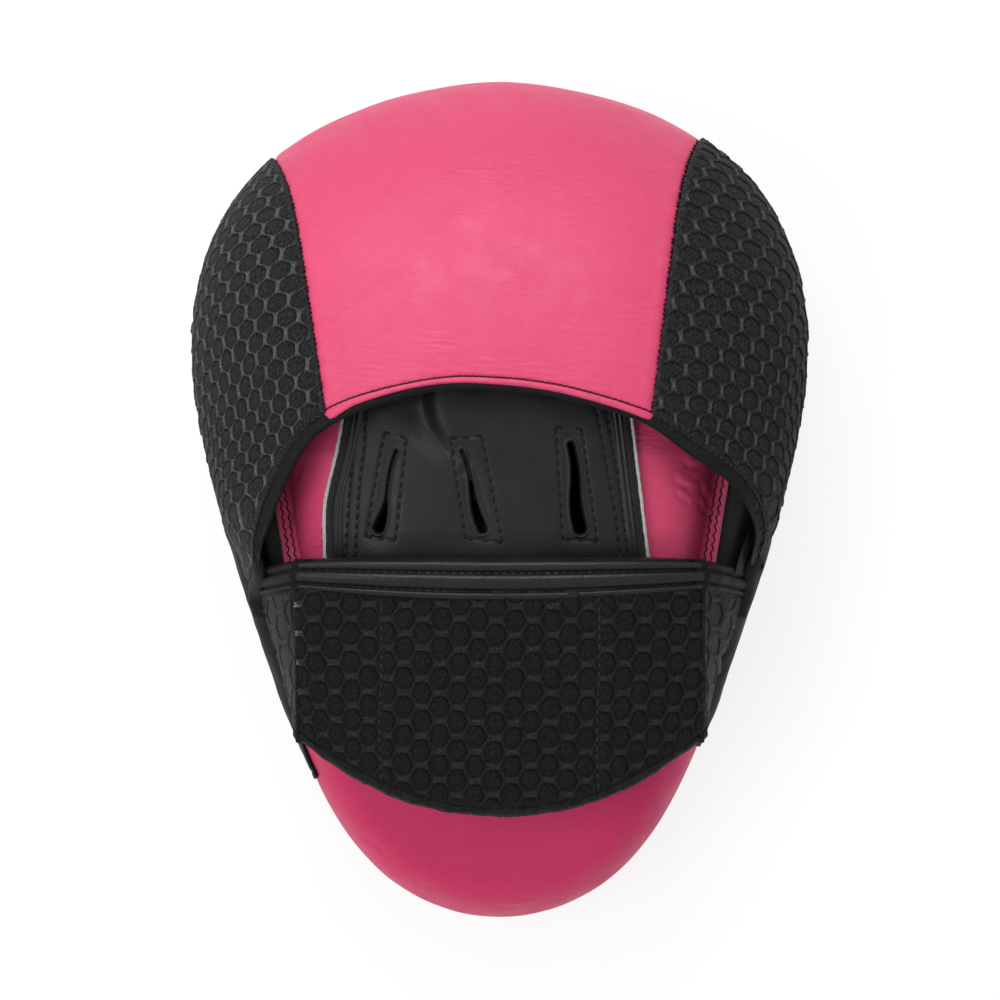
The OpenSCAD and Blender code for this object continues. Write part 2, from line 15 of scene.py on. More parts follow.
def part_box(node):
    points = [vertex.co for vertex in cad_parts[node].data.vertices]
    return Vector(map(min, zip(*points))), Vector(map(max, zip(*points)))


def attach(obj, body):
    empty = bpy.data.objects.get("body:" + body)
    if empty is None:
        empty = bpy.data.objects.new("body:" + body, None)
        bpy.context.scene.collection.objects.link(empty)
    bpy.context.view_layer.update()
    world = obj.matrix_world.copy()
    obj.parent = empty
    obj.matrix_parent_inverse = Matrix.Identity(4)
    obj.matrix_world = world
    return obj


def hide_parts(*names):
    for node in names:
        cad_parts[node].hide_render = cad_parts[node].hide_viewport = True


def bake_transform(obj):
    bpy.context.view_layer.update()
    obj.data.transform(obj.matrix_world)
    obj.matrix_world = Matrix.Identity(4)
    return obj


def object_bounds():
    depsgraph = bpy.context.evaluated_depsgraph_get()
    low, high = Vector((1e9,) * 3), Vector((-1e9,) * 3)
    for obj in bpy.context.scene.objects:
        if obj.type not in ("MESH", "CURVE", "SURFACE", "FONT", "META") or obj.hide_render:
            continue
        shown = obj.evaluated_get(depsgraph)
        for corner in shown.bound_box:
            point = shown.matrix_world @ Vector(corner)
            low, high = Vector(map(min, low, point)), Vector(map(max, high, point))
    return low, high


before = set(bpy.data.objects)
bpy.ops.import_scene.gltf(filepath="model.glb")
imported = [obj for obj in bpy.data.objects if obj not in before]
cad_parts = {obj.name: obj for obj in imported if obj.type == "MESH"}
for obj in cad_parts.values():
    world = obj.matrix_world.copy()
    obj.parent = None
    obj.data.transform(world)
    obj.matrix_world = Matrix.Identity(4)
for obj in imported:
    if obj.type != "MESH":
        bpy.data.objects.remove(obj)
cad_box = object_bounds()

MM = 0.001


# ---------------------------------------------------------------- sizes, as in the part's source

pad_low, pad_high = (np.array(corner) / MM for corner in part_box("pad_cover"))
PAST_RING = 0.26             # the outline's own end lies between two of the cover's rings
HALF_LENGTH = (pad_high[1] - pad_low[1]) / 2 + PAST_RING
MID_WIDTH = 173
HEAD_TAPER = 0.40
END_FULLNESS = 0.23
SHOULDER_PULL = 0.16
PAD_THICKNESS = 36
FACE_RADIUS = 420
BELLY_HEIGHT = 16
FRONT_ROUND = 8
BACK_ROUND = 12
LEATHER = 1.2
PIPING_D = 3
TARGET_D = 64
PALM_DROP = 70
LINING = 1
BALL_R = 27
BALL_HEIGHT = 11
BALL_DROP = 14
GLOVE_RISE = 28
GLOVE_HALF_WIDTH = 68
GLOVE_REACH = 100
GLOVE_TAIL = 58
FLANGE_WIDTH = 4
BACK_LEFT = 52
BACK_RIGHT = 45
BACK_PANEL = 2.2
MESH = 2.4
HOOD_FOAM = 6
HOOD_ROOM = 2
HOOD_LAP = 0.8
HOOD_STRETCH = 1.05
OPENING_CROWN = 32
OPENING_FOOT = 28
OPENING_RIGHT = 81
OPENING_LEFT = 79
CUFF_HALF_WIDTH = 59.5
CUFF_TOP = 17.5
CUFF_BOTTOM = 96
CUFF_SCOOP = 22
CUFF_SLOPE = 9
CUFF_FOAM = 4
BINDING_WIDTH = 8
HEM_D = 4
CLEAR = 0.3

SEAT_ANGLE = 40
SEAM_ANGLE = 65


def sin(a):
    return np.sin(np.radians(a))


def cos(a):
    return np.cos(np.radians(a))


def smooth(x):
    x = np.clip(x, 0, 1)
    return x * x * (3 - 2 * x)


def mix(a, b, u):
    return a * (1 - u) + b * u


def power(base, exponent):
    return np.maximum(base, 0) ** exponent


def bell(x, width):
    return np.exp(-(x / width) ** 2)


def steps(*runs):
    """Evenly spaced numbers, from runs of (first, last, count)."""
    return np.concatenate([np.linspace(*run) for run in runs])


def as_row(*runs):
    return steps(*runs)[None]


def as_column(*runs):
    return steps(*runs)[:, None]


def turn_angles(count):
    return np.linspace(0, 360, count, endpoint=False)


def grey(shade):
    return (shade,) * 3


def unit(v):
    return v / np.maximum(np.linalg.norm(v, axis=-1, keepdims=True), 1e-9)


SEAT_H = BELLY_HEIGHT + (PAD_THICKNESS - BELLY_HEIGHT) * sin(SEAT_ANGLE)
SEAT_INSET = BACK_ROUND * (1 - cos(SEAT_ANGLE))
SEAM_H = BELLY_HEIGHT * (1 - sin(SEAM_ANGLE))
SEAM_INSET = FRONT_ROUND * (1 - cos(SEAM_ANGLE))
PIPING_INSET = SEAM_INSET + PIPING_D / 2 + CLEAR
FACE_INSET = PIPING_INSET + PIPING_D / 2 + CLEAR
FLOOR_Z = math.sqrt((FACE_RADIUS + SEAM_H) ** 2 - (HALF_LENGTH - PIPING_INSET) ** 2) - PIPING_D / 2
PALM_H = PAD_THICKNESS + CLEAR
GLOVE_H = PALM_H + LEATHER + CLEAR
GLOVE_TOP_H = GLOVE_H + GLOVE_RISE
CAVITY_H = GLOVE_H + LINING
GLOVE_SIDE_D = BACK_PANEL + CLEAR
GLOVE_LINING_D = GLOVE_SIDE_D + LEATHER + 2 * CLEAR
HOOD_OUT = SEAT_INSET - HOOD_LAP - MESH
HOOD_STACK = MESH + 2 * CLEAR + HOOD_FOAM + CLEAR + LINING
HOOD_RISE = (GLOVE_TOP_H + HOOD_ROOM + HOOD_STACK - SEAT_H) * HOOD_STRETCH
CUFF_STACK = MESH + CLEAR + CUFF_FOAM + CLEAR + LINING
CUFF_H = GLOVE_TOP_H + 2 * CLEAR + 1 + CUFF_STACK
PANEL_D = MESH - LEATHER


# ---------------------------------------------------------------- the object's surfaces

def points(x, y, z):
    return np.stack(np.broadcast_arrays(x, y, z), axis=-1).astype(float)


def half_width(s):
    return MID_WIDTH / 2 * (1 + HEAD_TAPER * s + END_FULLNESS * s ** 2 - SHOULDER_PULL * s ** 3)


def rim(t, inset=0.0):
    return (half_width(sin(t)) - inset) * cos(t), (HALF_LENGTH - inset) * sin(t)


def radial(x, y, inset):
    s = y / (HALF_LENGTH - inset)
    return np.hypot(x / (half_width(s) - inset), s)


def bend(y, h):
    return np.sqrt((FACE_RADIUS + h) ** 2 - y ** 2) - FLOOR_Z


def bent(x, y, h):
    """Points in plan at a height over the curved face."""
    return points(x, y, bend(y, h))


def outline_t(y):
    return np.degrees(np.arcsin(y / HALF_LENGTH))


def side_inset(h):
    low = FRONT_ROUND * (1 - np.sqrt(power(1 - (np.maximum(BELLY_HEIGHT - h, 0) / BELLY_HEIGHT) ** 2, 1)))
    share = np.maximum(h - BELLY_HEIGHT, 0) / (PAD_THICKNESS - BELLY_HEIGHT)
    return low + BACK_ROUND * (1 - np.sqrt(power(1 - share ** 2, 1)))


def hood_h(x, y, d):
    return SEAT_H + (HOOD_RISE - d) * np.sqrt(power(1 - power(radial(x, y, HOOD_OUT + d), 3), 1))


SIDE_FULLNESS = 2.4
CROWN_FULLNESS = 1.8
# The wings' tips and the hood's seams: degrees round the opening and round the rim, and how far they bow
TIP_RIGHT = np.array([10, -11.0, 0])
TIP_LEFT = np.array([170, 191.0, 0])
SEAM_RIGHT = np.array([60.5, 59.2, 5])
SEAM_LEFT = np.array([124.5, 125.8, -5])
TIP_START = 2.6
TIP_SPREAD = 18
# The worn opening leaves its curve: degrees round it, and millimetres outwards
EDGE_AT = [10, 16, 20, 26, 35, 40, 45, 50, 55, 60, 65, 74, 82, 89, 94, 102, 111, 122, 130, 135, 140, 145, 150, 155, 160,
           176]
EDGE_SHIFT = [-2, 0, 1, 1.8, 1.4, 0, -1.4, -2.0, -1.4, -0.8, -1.15, -1.2, -0.2, 0.8, 1.8, 2.0, 1.9, 2.6, 2.8, 1.2, -0.3,
              -2, -3, -3.7, -4.1, -3.5]


def edge_shift(a):
    return sum(np.interp(a + k, EDGE_AT, EDGE_SHIFT) for k in (-3, -1, 1, 3)) / 4


def layer_edge(a):
    share = (np.minimum(a, 180 - a) - TIP_RIGHT[0]) / TIP_SPREAD
    start = np.interp(a, [50, 60, 65, 105, 120, 130], [4.7, 3.6, 3.3, 3.3, 4.3, 4.7])
    return mix(TIP_START, start, np.minimum(1, share))


def tape_width(a):
    """The tape below the centre panel, up to the panel's rolled edge."""
    return np.interp(a, [60, 88, 110, 118, 124], [1.1, 1.45, 1.95, 2.1, 1.1])


def opening_edge(a):
    half = np.where(cos(a) < 0, OPENING_LEFT, OPENING_RIGHT)
    x = np.sign(cos(a)) * half * power(np.abs(cos(a)), 2 / SIDE_FULLNESS)
    y = -OPENING_FOOT + (OPENING_CROWN + OPENING_FOOT) * power(sin(a), 2 / CROWN_FULLNESS)
    return x, y


def opening(a, grow):
    """The curve of the hood's opening, moved outwards by grow."""
    x, y = opening_edge(a)
    x_next, y_next = opening_edge(a + 1)
    x_last, y_last = opening_edge(a - 1)
    along_x, along_y = x_next - x_last, y_next - y_last
    length = np.hypot(along_x, along_y)
    grow = grow + edge_shift(a)
    return x + grow * along_y / length, y - grow * along_x / length


def hood_plan(start, end, u, v, edge):
    """A place v (0 at the opening, 1 at the rim) along the line at u (0 to 1) between two lines."""
    at_opening, at_rim, bow = (mix(start[k], end[k], u) for k in range(3))
    x0, y0 = opening(at_opening, layer_edge(at_opening))
    x1, y1 = rim(at_rim, edge)
    return mix(x0, x1, v) - bow * (v - v ** 9), mix(y0, y1, v)


TIP_DRAWN = 1.8
TIP_RAISED = 0.7


def drawn_in(x, y, z):
    """The tips of the wings are drawn in, up over the pad's round edge."""
    shift = TIP_DRAWN * smooth((np.abs(x) - 70) / 8) * smooth((-8 - y) / 12)
    return points(x - np.sign(x) * shift, y, z + TIP_RAISED * shift)


def on_hood(x, y, d):
    return drawn_in(x, y, bend(y, hood_h(x, y, d)))


def hood_patch(start, end, u, v, d):
    """v runs from 0 at the opening to 90 at the rim."""
    x, y = hood_plan(start, end, u, sin(v), HOOD_OUT + d)
    return on_hood(x, y, d)


KNUCKLE_Y = 14
FINGER_Y = 60
WRIST_Y = -10
WRIST_TAPER = 0.16
FINGER_TAPER = 0.26
PANEL_TAPER = 0.12
PANEL_BULGE = 2.2            # of the back panel's left edge, over the thumb's root
PANEL_TRIM = 0.9             # off its right edge
WRIST_FALL = 0.1
GLOVE_FULLNESS = 1.5


def glove_round(y):
    return np.sqrt(power(1 - power((y - FINGER_Y) / (GLOVE_REACH + 1 - FINGER_Y), 2), 1))


def glove_w(y):
    slope = np.where(y < KNUCKLE_Y, WRIST_TAPER, -FINGER_TAPER)
    return (GLOVE_HALF_WIDTH + slope * (y - KNUCKLE_Y)) * glove_round(y)


def glove_r(y):
    return (GLOVE_RISE - WRIST_FALL * np.maximum(0, WRIST_Y - y)) * glove_round(y)


def glove_point(a, y, d):
    c = cos(a)
    x = np.sign(c) * (glove_w(y) - d) * power(np.abs(c), 1 / GLOVE_FULLNESS)
    return bent(x, y, GLOVE_H + (glove_r(y) - d) * sin(a))


def glove_angle(x, y, d=0.0):
    c = np.minimum(1, power(np.abs(x) / (glove_w(y) - d), GLOVE_FULLNESS))
    a = np.degrees(np.arccos(c))
    return np.where(x < 0, 180 - a, a)


def panel_x(side, y):
    half = BACK_LEFT if side < 0 else BACK_RIGHT
    bulge = PANEL_BULGE * bell(y + 1, 13.0) if side < 0 else -PANEL_TRIM
    return side * glove_round(y) * (half + bulge - PANEL_TAPER * (np.maximum(y, -CUFF_TOP) + CUFF_TOP))


CORNER_DROP = 0.13
CUFF_SAG = 1.5               # of the worn upper edge, at its middle and at its corners


def cuff_upper(u):
    return -CUFF_TOP - CUFF_SAG * power(np.abs(u), 3) - CUFF_SAG * (1 - u ** 2)


def cuff_lower(u):
    return -CUFF_BOTTOM + CUFF_SCOOP * power(np.abs(u), 2.2)


def cuff_fall(u):
    return 1 - CORNER_DROP * power(np.abs(u), 3.5)


def cuff_surface(u, v, d):
    """u is -1 to 1 across, v is 0 at the upper edge and 1 at the lower."""
    y = mix(cuff_upper(u), cuff_lower(u), v)
    h = SEAT_H + (CUFF_H - SEAT_H - CUFF_SLOPE * v) * cuff_fall(u) - d
    return bent(u * CUFF_HALF_WIDTH, y, h)


def cuff_v(u, distance):
    return distance / (cuff_upper(u) - cuff_lower(u))


BINDING_V = cuff_v(1.0, BINDING_WIDTH)


GUSSET_INSET = 2.5
GUSSET_FOOT_TOP = 23
GUSSET_FOOT_LOW = 75
GUSSET_BULGE = 1.2
GUSSET_DROP = 0.6


def back_h(inset):
    return BELLY_HEIGHT + (PAD_THICKNESS - BELLY_HEIGHT) * np.sqrt(power(1 - power(1 - inset / BACK_ROUND, 2), 1))


def gusset_point(side, w, v, d):
    """w is 0 at the cuff and 1 at the pad, v runs along the cuff."""
    top = cuff_surface(np.asarray(float(side)), v, GUSSET_DROP)
    foot_y = -mix(GUSSET_FOOT_TOP, GUSSET_FOOT_LOW, v)
    foot_x, foot_y = rim(outline_t(foot_y), GUSSET_INSET)
    foot_z = bend(foot_y, back_h(GUSSET_INSET + np.maximum(d, 0)) + 2 * CLEAR)
    x = mix(np.abs(top[..., 0]) + CLEAR + MESH, foot_x, w) + GUSSET_BULGE * sin(180 * w) - d
    return points(side * x, mix(top[..., 1], foot_y, w), mix(top[..., 2], foot_z, w))


# ---------------------------------------------------------------- helpers for grids of points

NOISE_CELLS = 97


def noise(a, b, size, seed):
    """Smooth numbers from -1 to 1 over two coordinates, with features of that size."""
    table = np.random.RandomState(seed).uniform(-1, 1, (NOISE_CELLS, NOISE_CELLS))
    a, b = np.broadcast_arrays(np.asarray(a, float) / size, np.asarray(b, float) / size)
    i, j = np.floor(a).astype(int), np.floor(b).astype(int)
    p, q = smooth(a - i), smooth(b - j)
    at = lambda di, dj: table[(i + di) % NOISE_CELLS, (j + dj) % NOISE_CELLS]
    return mix(mix(at(0, 0), at(1, 0), p), mix(at(0, 1), at(1, 1), p), q)


def plan_noise(p, size, seed):
    return noise(p[..., 0], p[..., 1], size, seed)


def wrinkle(x, y, start, end, width, depth, fade=0.35):
    """A crease from start to end in plan: a groove with a soft ridge beside it."""
    start, end = np.array(start, float), np.array(end, float)
    along = end - start
    length = np.hypot(*along)
    along /= length
    s = ((x - start[0]) * along[0] + (y - start[1]) * along[1]) / length
    across = (x - start[0]) * -along[1] + (y - start[1]) * along[0]
    across = across + 0.8 * width * np.sin(5 * s)
    ends = smooth(s / fade) * smooth((1 - s) / fade)
    return -depth * ends * (bell(across, width) - 0.6 * bell(across - 1.7 * width, 1.2 * width))


def creased(relief, x, y, creases, where=1.0):
    """Relief with creases of (start, end, width, depth) added to it."""
    for crease in creases:
        relief = relief + wrinkle(x, y, *crease) * where
    return relief


def normals(p):
    """The grid's unit normals: across its columns, then along its rows."""
    return unit(np.cross(np.gradient(p, axis=1), np.gradient(p, axis=0)))


def ring_normals(p):
    """The same for a grid whose columns go all the way round."""
    return normals(np.pad(p, ((0, 0), (1, 1), (0, 0)), mode="wrap"))[:, 1:-1]


def raised(p, relief):
    """The grid moved outwards by its relief."""
    return p + relief[..., None] * normals(p)


def spans(p):
    """How far each point of a grid lies from the first in its row, and from the first in its column."""
    across = np.linalg.norm(np.diff(p, axis=1), axis=-1)
    along = np.linalg.norm(np.diff(p, axis=0), axis=-1)
    a = np.concatenate([np.zeros((p.shape[0], 1)), np.cumsum(across, 1)], 1)
    b = np.concatenate([np.zeros((1, p.shape[1])), np.cumsum(along, 0)], 0)
    return a, b


FLATTEN_ROUNDS = 400
FLATTEN_PACE = 1.6


def flatten(p):
    """Lays a curved patch out flat, with its edges as long as they are on the surface."""
    a, b = spans(p)
    q = np.stack([a - a[:, a.shape[1] // 2][:, None], b - b[b.shape[0] // 2][None]], -1)
    pairs = []
    rows, cols = p.shape[:2]
    for di, dj in ((0, 1), (1, 0), (1, 1), (1, -1)):
        j0, j1 = max(0, -dj), cols - max(0, dj)
        near = (slice(0, rows - di), slice(j0, j1))
        far = (slice(di, rows), slice(j0 + dj, j1 + dj))
        pairs.append((near, far, np.linalg.norm(p[far] - p[near], axis=-1, keepdims=True)))
    for _ in range(FLATTEN_ROUNDS):
        move, weight = np.zeros_like(q), np.zeros(q.shape[:2] + (1,))
        for near, far, length in pairs:
            gap = q[far] - q[near]
            now = np.maximum(np.linalg.norm(gap, axis=-1, keepdims=True), 1e-9)
            pull = gap * (1 - length / now) / 2
            move[near] += pull
            move[far] -= pull
            weight[near] += 1
            weight[far] += 1
        q = q + FLATTEN_PACE * move / weight
    return q


def cell_mean(values):
    return (values[:-1, :-1] + values[1:, :-1] + values[:-1, 1:] + values[1:, 1:]) / 4


def resample(values, rows, cols):
    """A grid read smoothly at another number of rows and columns."""
    def along(v, count):
        place = np.linspace(0, len(v) - 1, count)
        i = np.clip(np.floor(place).astype(int), 0, len(v) - 2)
        f = (place - i).reshape((-1,) + (1,) * (v.ndim - 1))
        at = lambda k: v[np.clip(i + k, 0, len(v) - 1)]
        return 0.5 * (2 * at(0) + (at(1) - at(-1)) * f + (2 * at(-1) - 5 * at(0) + 4 * at(1) - at(2)) * f ** 2
                      + (3 * at(0) - at(-1) - 3 * at(1) + at(2)) * f ** 3)
    first = along(values, rows)
    return np.swapaxes(along(np.swapaxes(first, 0, 1), cols), 0, 1)


CLOTH_GRID = 28, 41
CLOTH_FRAMES = 20
CLOTH_PRESSURE = 4.0


def settle(p, cap, ring=False):
    """How far the padding swells a patch between its seams, in millimetres, from a cloth simulation.

    The patch's edges are sewn down. It is simulated on a coarse grid, and the result is read back at each point.
    With ring, the columns go all the way round, and only the first row is sewn down.
    """
    rows, cols = p.shape[:2]
    if ring:
        p = np.concatenate([p, p[:, :1]], 1)
    coarse = resample(p, *CLOTH_GRID)
    if ring:
        coarse = coarse[:, :-1]
    r, c = coarse.shape[:2]
    mesh = bpy.data.meshes.new("cloth")
    mesh.from_pydata((coarse.reshape(-1, 3) * MM).tolist(), [], grid_faces(r, c, wrap_cols=ring).tolist())
    obj = bpy.data.objects.new("cloth", mesh)
    bpy.context.scene.collection.objects.link(obj)
    sewn = np.zeros((r, c), bool)
    sewn[0] = True
    if not ring:
        sewn[-1] = sewn[:, 0] = sewn[:, -1] = True
    group = obj.vertex_groups.new(name="sewn")
    group.add(np.flatnonzero(sewn.ravel()).tolist(), 1.0, "REPLACE")
    cloth = obj.modifiers.new("cloth", "CLOTH")
    for key, value in {"quality": 6, "mass": 0.3, "tension_stiffness": 25, "compression_stiffness": 25,
                       "bending_stiffness": 2.0, "use_pressure": True, "uniform_pressure_force": CLOTH_PRESSURE,
                       "vertex_group_mass": "sewn"}.items():
        setattr(cloth.settings, key, value)
    cloth.settings.effector_weights.gravity = 0
    cloth.collision_settings.use_collision = cloth.collision_settings.use_self_collision = False
    for frame_number in range(1, CLOTH_FRAMES + 1):
        bpy.context.scene.frame_set(frame_number)
    swollen = obj.evaluated_get(bpy.context.evaluated_depsgraph_get()).data
    after = np.empty(len(swollen.vertices) * 3, np.float32)
    swollen.vertices.foreach_get("co", after)
    n = ring_normals(coarse) if ring else normals(coarse)
    rise = ((after.reshape(r, c, 3) / MM - coarse) * n).sum(-1)
    bpy.data.objects.remove(obj)
    bpy.data.meshes.remove(mesh)
    bpy.context.scene.frame_set(1)
    rise = cap * np.tanh(rise / cap)
    if ring:
        rise = np.concatenate([rise, rise[:, :1]], 1)
        return resample(rise, rows, cols + 1)[:, :-1]
    return resample(rise, rows, cols)


# ---------------------------------------------------------------- meshes

def mesh_object(name, verts, quads, material, attributes=None, tris=None):
    """A smooth object from points in millimetres and faces of four (and three) corners."""
    quads = np.asarray(quads, np.int32).reshape(-1, 4)
    tris = np.zeros((0, 3), np.int32) if tris is None else np.asarray(tris, np.int32).reshape(-1, 3)
    mesh = bpy.data.meshes.new(name)
    verts = np.asarray(verts, float).reshape(-1, 3)
    mesh.vertices.add(len(verts))
    mesh.vertices.foreach_set("co", (verts * MM).astype(np.float32).ravel())
    mesh.loops.add(quads.size + tris.size)
    mesh.loops.foreach_set("vertex_index", np.concatenate([quads.ravel(), tris.ravel()]))
    mesh.polygons.add(len(quads) + len(tris))
    starts = np.concatenate([np.arange(len(quads)) * 4, quads.size + np.arange(len(tris)) * 3])
    mesh.polygons.foreach_set("loop_start", starts.astype(np.int32))
    mesh.update(calc_edges=True)
    mesh.polygons.foreach_set("use_smooth", np.ones(len(quads) + len(tris), bool))
    for key, values in (attributes or {}).items():
        values = np.asarray(values, np.float32)
        kind = "FLOAT" if values.ndim == 1 or values.shape[-1] == 1 else "FLOAT_VECTOR"
        layer = mesh.attributes.new(key, kind, "POINT")
        layer.data.foreach_set("value" if kind == "FLOAT" else "vector", values.ravel())
    mesh.materials.append(material)
    obj = bpy.data.objects.new(name, mesh)
    bpy.context.scene.collection.objects.link(obj)
    return obj


def grid_faces(rows, cols, wrap_rows=False, wrap_cols=False):
    i = np.arange(rows if wrap_rows else rows - 1)[:, None]
    j = np.arange(cols if wrap_cols else cols - 1)[None]
    at = lambda r, c: (r % rows) * cols + c % cols
    return np.stack([at(i, j), at(i, j + 1), at(i + 1, j + 1), at(i + 1, j)], -1).reshape(-1, 4)


def cloth_coords(a, b):
    return np.stack([a, b, np.zeros_like(a)], -1)


HEM_STEPS = (0.3, -0.2), (0.8, -0.05), (1.0, 0.6)        # down and inwards, in shares of the hem's depth


def hem_rings(p, layers, depth):
    """Adds rings round a patch that fold its free edges down, so that it looks as thick as it is."""
    widen = lambda k: np.pad(k, ((1, 1), (1, 1)) + ((0, 0),) * (k.ndim - 2), mode="edge")
    home, n, inward = p, normals(p), unit(widen(p[1:-1, 1:-1]) - p)
    for down, reach in HEM_STEPS:
        home, n, inward, p = (widen(k) for k in (home, n, inward, p))
        ring = np.ones(p.shape[:2], bool)
        ring[1:-1, 1:-1] = False
        p[ring] = (home + depth * (reach * inward - down * n))[ring]
        layers = {k: widen(v) for k, v in layers.items()}
    return p, layers


def grid_object(name, p, material, layers=None, turn_in=0.0, wrap_cols=False, keep=None):
    """A patch of cloth or leather. turn_in is how far its free edges fold down. keep is a mask of its faces."""
    layers = {k: np.asarray(v, float) for k, v in (layers or {}).items()}
    if turn_in:
        p, layers = hem_rings(p, layers, turn_in)
    rows, cols = p.shape[:2]
    faces = grid_faces(rows, cols, wrap_cols=wrap_cols)
    if keep is not None:
        faces = faces[keep.ravel()]
    return mesh_object(name, p, faces, material, {k: v.reshape(rows * cols, -1) for k, v in layers.items()})


def tube(name, path, up, radius, material, sides=10, closed=False, flat=1.0):
    """A cord or roll along a path. up is a direction for each point, and flat squeezes it along up."""
    path, up = np.asarray(path, float), np.broadcast_to(np.asarray(up, float), np.shape(path))
    radius = np.broadcast_to(np.asarray(radius, float), len(path))
    if closed:
        along = np.roll(path, -1, 0) - np.roll(path, 1, 0)
    else:
        along = np.gradient(path, axis=0)
    along = unit(along)
    side = unit(np.cross(along, up))
    up = np.cross(side, along)
    a = turn_angles(sides)
    p = path[:, None] + radius[:, None, None] * (
        cos(a)[None, :, None] * side[:, None] + flat * sin(a)[None, :, None] * up[:, None])
    rows = len(path)
    faces = grid_faces(rows, sides, wrap_rows=closed, wrap_cols=True)
    verts, tris = p.reshape(-1, 3), None
    if not closed:
        ends = [path[:1] - along[:1] * radius[0] * 0.5, path[-1:] + along[-1:] * radius[-1] * 0.5]
        verts = np.concatenate([verts, *ends])
        j, next_j, last_row = np.arange(sides), (np.arange(sides) + 1) % sides, (rows - 1) * sides
        tris = np.concatenate([np.stack([next_j, j, np.full(sides, rows * sides)], -1),
                               np.stack([last_row + j, last_row + next_j, np.full(sides, rows * sides + 1)], -1)])
    return mesh_object(name, verts, faces, material, tris=tris)


def lengths(path):
    return np.concatenate([[0], np.cumsum(np.linalg.norm(np.diff(path, axis=0), axis=-1))])


def at_length(path, s, place):
    return np.stack([np.interp(place, s, path[:, k]) for k in range(path.shape[1])], -1)


# A thread's rings: places along it, and its half width there
SHARES = np.array([0.0, 0.18, 0.5, 0.82, 1.0])
THREAD_TAPER = np.array([0.45, 0.95, 1.0, 0.95, 0.45]) / 2
THREAD_SIDES = 6


def thread_rings(centre, up, along, width):
    """A short thread through each row of five points."""
    a = turn_angles(THREAD_SIDES)[:, None]
    side = unit(np.cross(along, up))
    radius = (width * THREAD_TAPER)[None, :, None, None]
    return centre[:, :, None] + radius * (cos(a) * side[:, :, None] + sin(a) * up[:, :, None])


def thread_object(name, blocks, material):
    rings = np.concatenate(blocks)
    block = grid_faces(len(SHARES), THREAD_SIDES, wrap_cols=True)
    faces = block[None] + THREAD_SIDES * len(SHARES) * np.arange(len(rings))[:, None, None]
    return mesh_object(name, rings, faces, material)


def on_seam(path, normal, place, step):
    """Spots at those distances along a seam, with the directions up and along it there."""
    s = lengths(path)
    along = unit(at_length(path, s, place + step) - at_length(path, s, place - step))
    return at_length(path, s, place), unit(at_length(normal, s, place)), along


def thread_heights(sink, lift):
    return np.array([-sink, lift * 0.7, lift, lift * 0.7, -sink])


def stitches(name, rows, material, length, gap, width, tilt=0.0, lift=0.3):
    """Threads along rows of (path, normal). Each thread dips into the leather at both its ends."""
    height = thread_heights(0.35, lift) * width
    blocks = []
    for path, normal in rows:
        total = lengths(path)[-1]
        count = max(1, int(total / (length + gap)))
        place = np.linspace(0, max(total - length, 0), count)[:, None] + SHARES * length
        spot, up, along = on_seam(path, normal, place, 0.2)
        centre = spot + height[None, :, None] * up
        centre = centre + tilt * (SHARES - 0.5)[None, :, None] * unit(np.cross(along, up))
        blocks.append(thread_rings(centre, up, along, width))
    return thread_object(name, blocks, material)


def wavy_thread(name, path, normal, material, period, sway, radius=0.22):
    """One thread that lies in slow waves along a seam and dips into the leather once a stitch."""
    place = np.arange(0, lengths(path)[-1], period / 10)
    spot, up, along = on_seam(path, normal, place, 0.3)
    turn = place / period * 360
    swing = sway * (sin(turn) + 0.4 * noise(place, 0 * place, 3, 5)) * (place > 0)
    height = 0.16 - 0.30 * power(np.clip(cos(turn), 0, 1), 6)
    centre = spot + height[:, None] * up + swing[:, None] * unit(np.cross(along, up))
    return tube(name, centre, up, radius, material, sides=THREAD_SIDES)


def cross_stitches(name, path, normal, material, pitch, inner, outer, width):
    """Threads that cross a seam, from inner on its one side to outer on the other."""
    place = np.arange(0.5, lengths(path)[-1] - 0.5, pitch)
    place = (place + 0.3 * pitch * noise(place, 0 * place, 1.1, 6))[:, None]
    spot, up, along = on_seam(path, normal, place, 0.3)
    across = unit(np.cross(along, up))
    reach = (-inner + SHARES * (inner + outer))[None, :, None]
    centre = spot + reach * across + (thread_heights(0.3, 0.2) * width)[None, :, None] * up
    return thread_object(name, [thread_rings(centre, up + 0 * centre, across + 0 * centre, width)], material)


def surface_tree(*objects):
    """The pieces' surfaces, to lay threads on."""
    verts, faces = [], []
    for o in objects:
        base = len(verts)
        verts += [v.co[:] for v in o.data.vertices]
        faces += [[base + k for k in p.vertices] for p in o.data.polygons]
    return BVHTree.FromPolygons(verts, faces)


HIGH_ABOVE = 0.3             # in metres


def laid(tree, path, from_above=True):
    """A path moved on to a surface, straight down or to the nearest place, with the normals there."""
    spots, ups = [], []
    for p in np.asarray(path, float).reshape(-1, 3):
        hit = (None, None)
        if from_above:
            hit = tree.ray_cast(Vector((p[0] * MM, p[1] * MM, HIGH_ABOVE)), Vector((0, 0, -1)))[:2]
        if hit[0] is None:
            hit = tree.find_nearest(Vector(p * MM))[:2]
        spots.append(np.array(hit[0]) / MM)
        ups.append(np.array(hit[1]))
    ups = np.array(ups)
    if len(ups) > 4:
        ups[1:-1] = (ups[:-2] + ups[1:-1] + ups[2:]) / 3
    return np.array(spots), unit(ups)


def line(*corners, step=0.8):
    """Points along straight pieces between corners in plan."""
    corners = np.array([tuple(c) + (0.0,) * (3 - len(c)) for c in corners], float)
    s = lengths(corners)
    return at_length(corners, s, np.linspace(0, s[-1], max(2, int(s[-1] / step))))


# ---------------------------------------------------------------- the spacer mesh's honeycomb

RIB_HEIGHT = 0.52
CORNER_SHARPNESS = 2.4


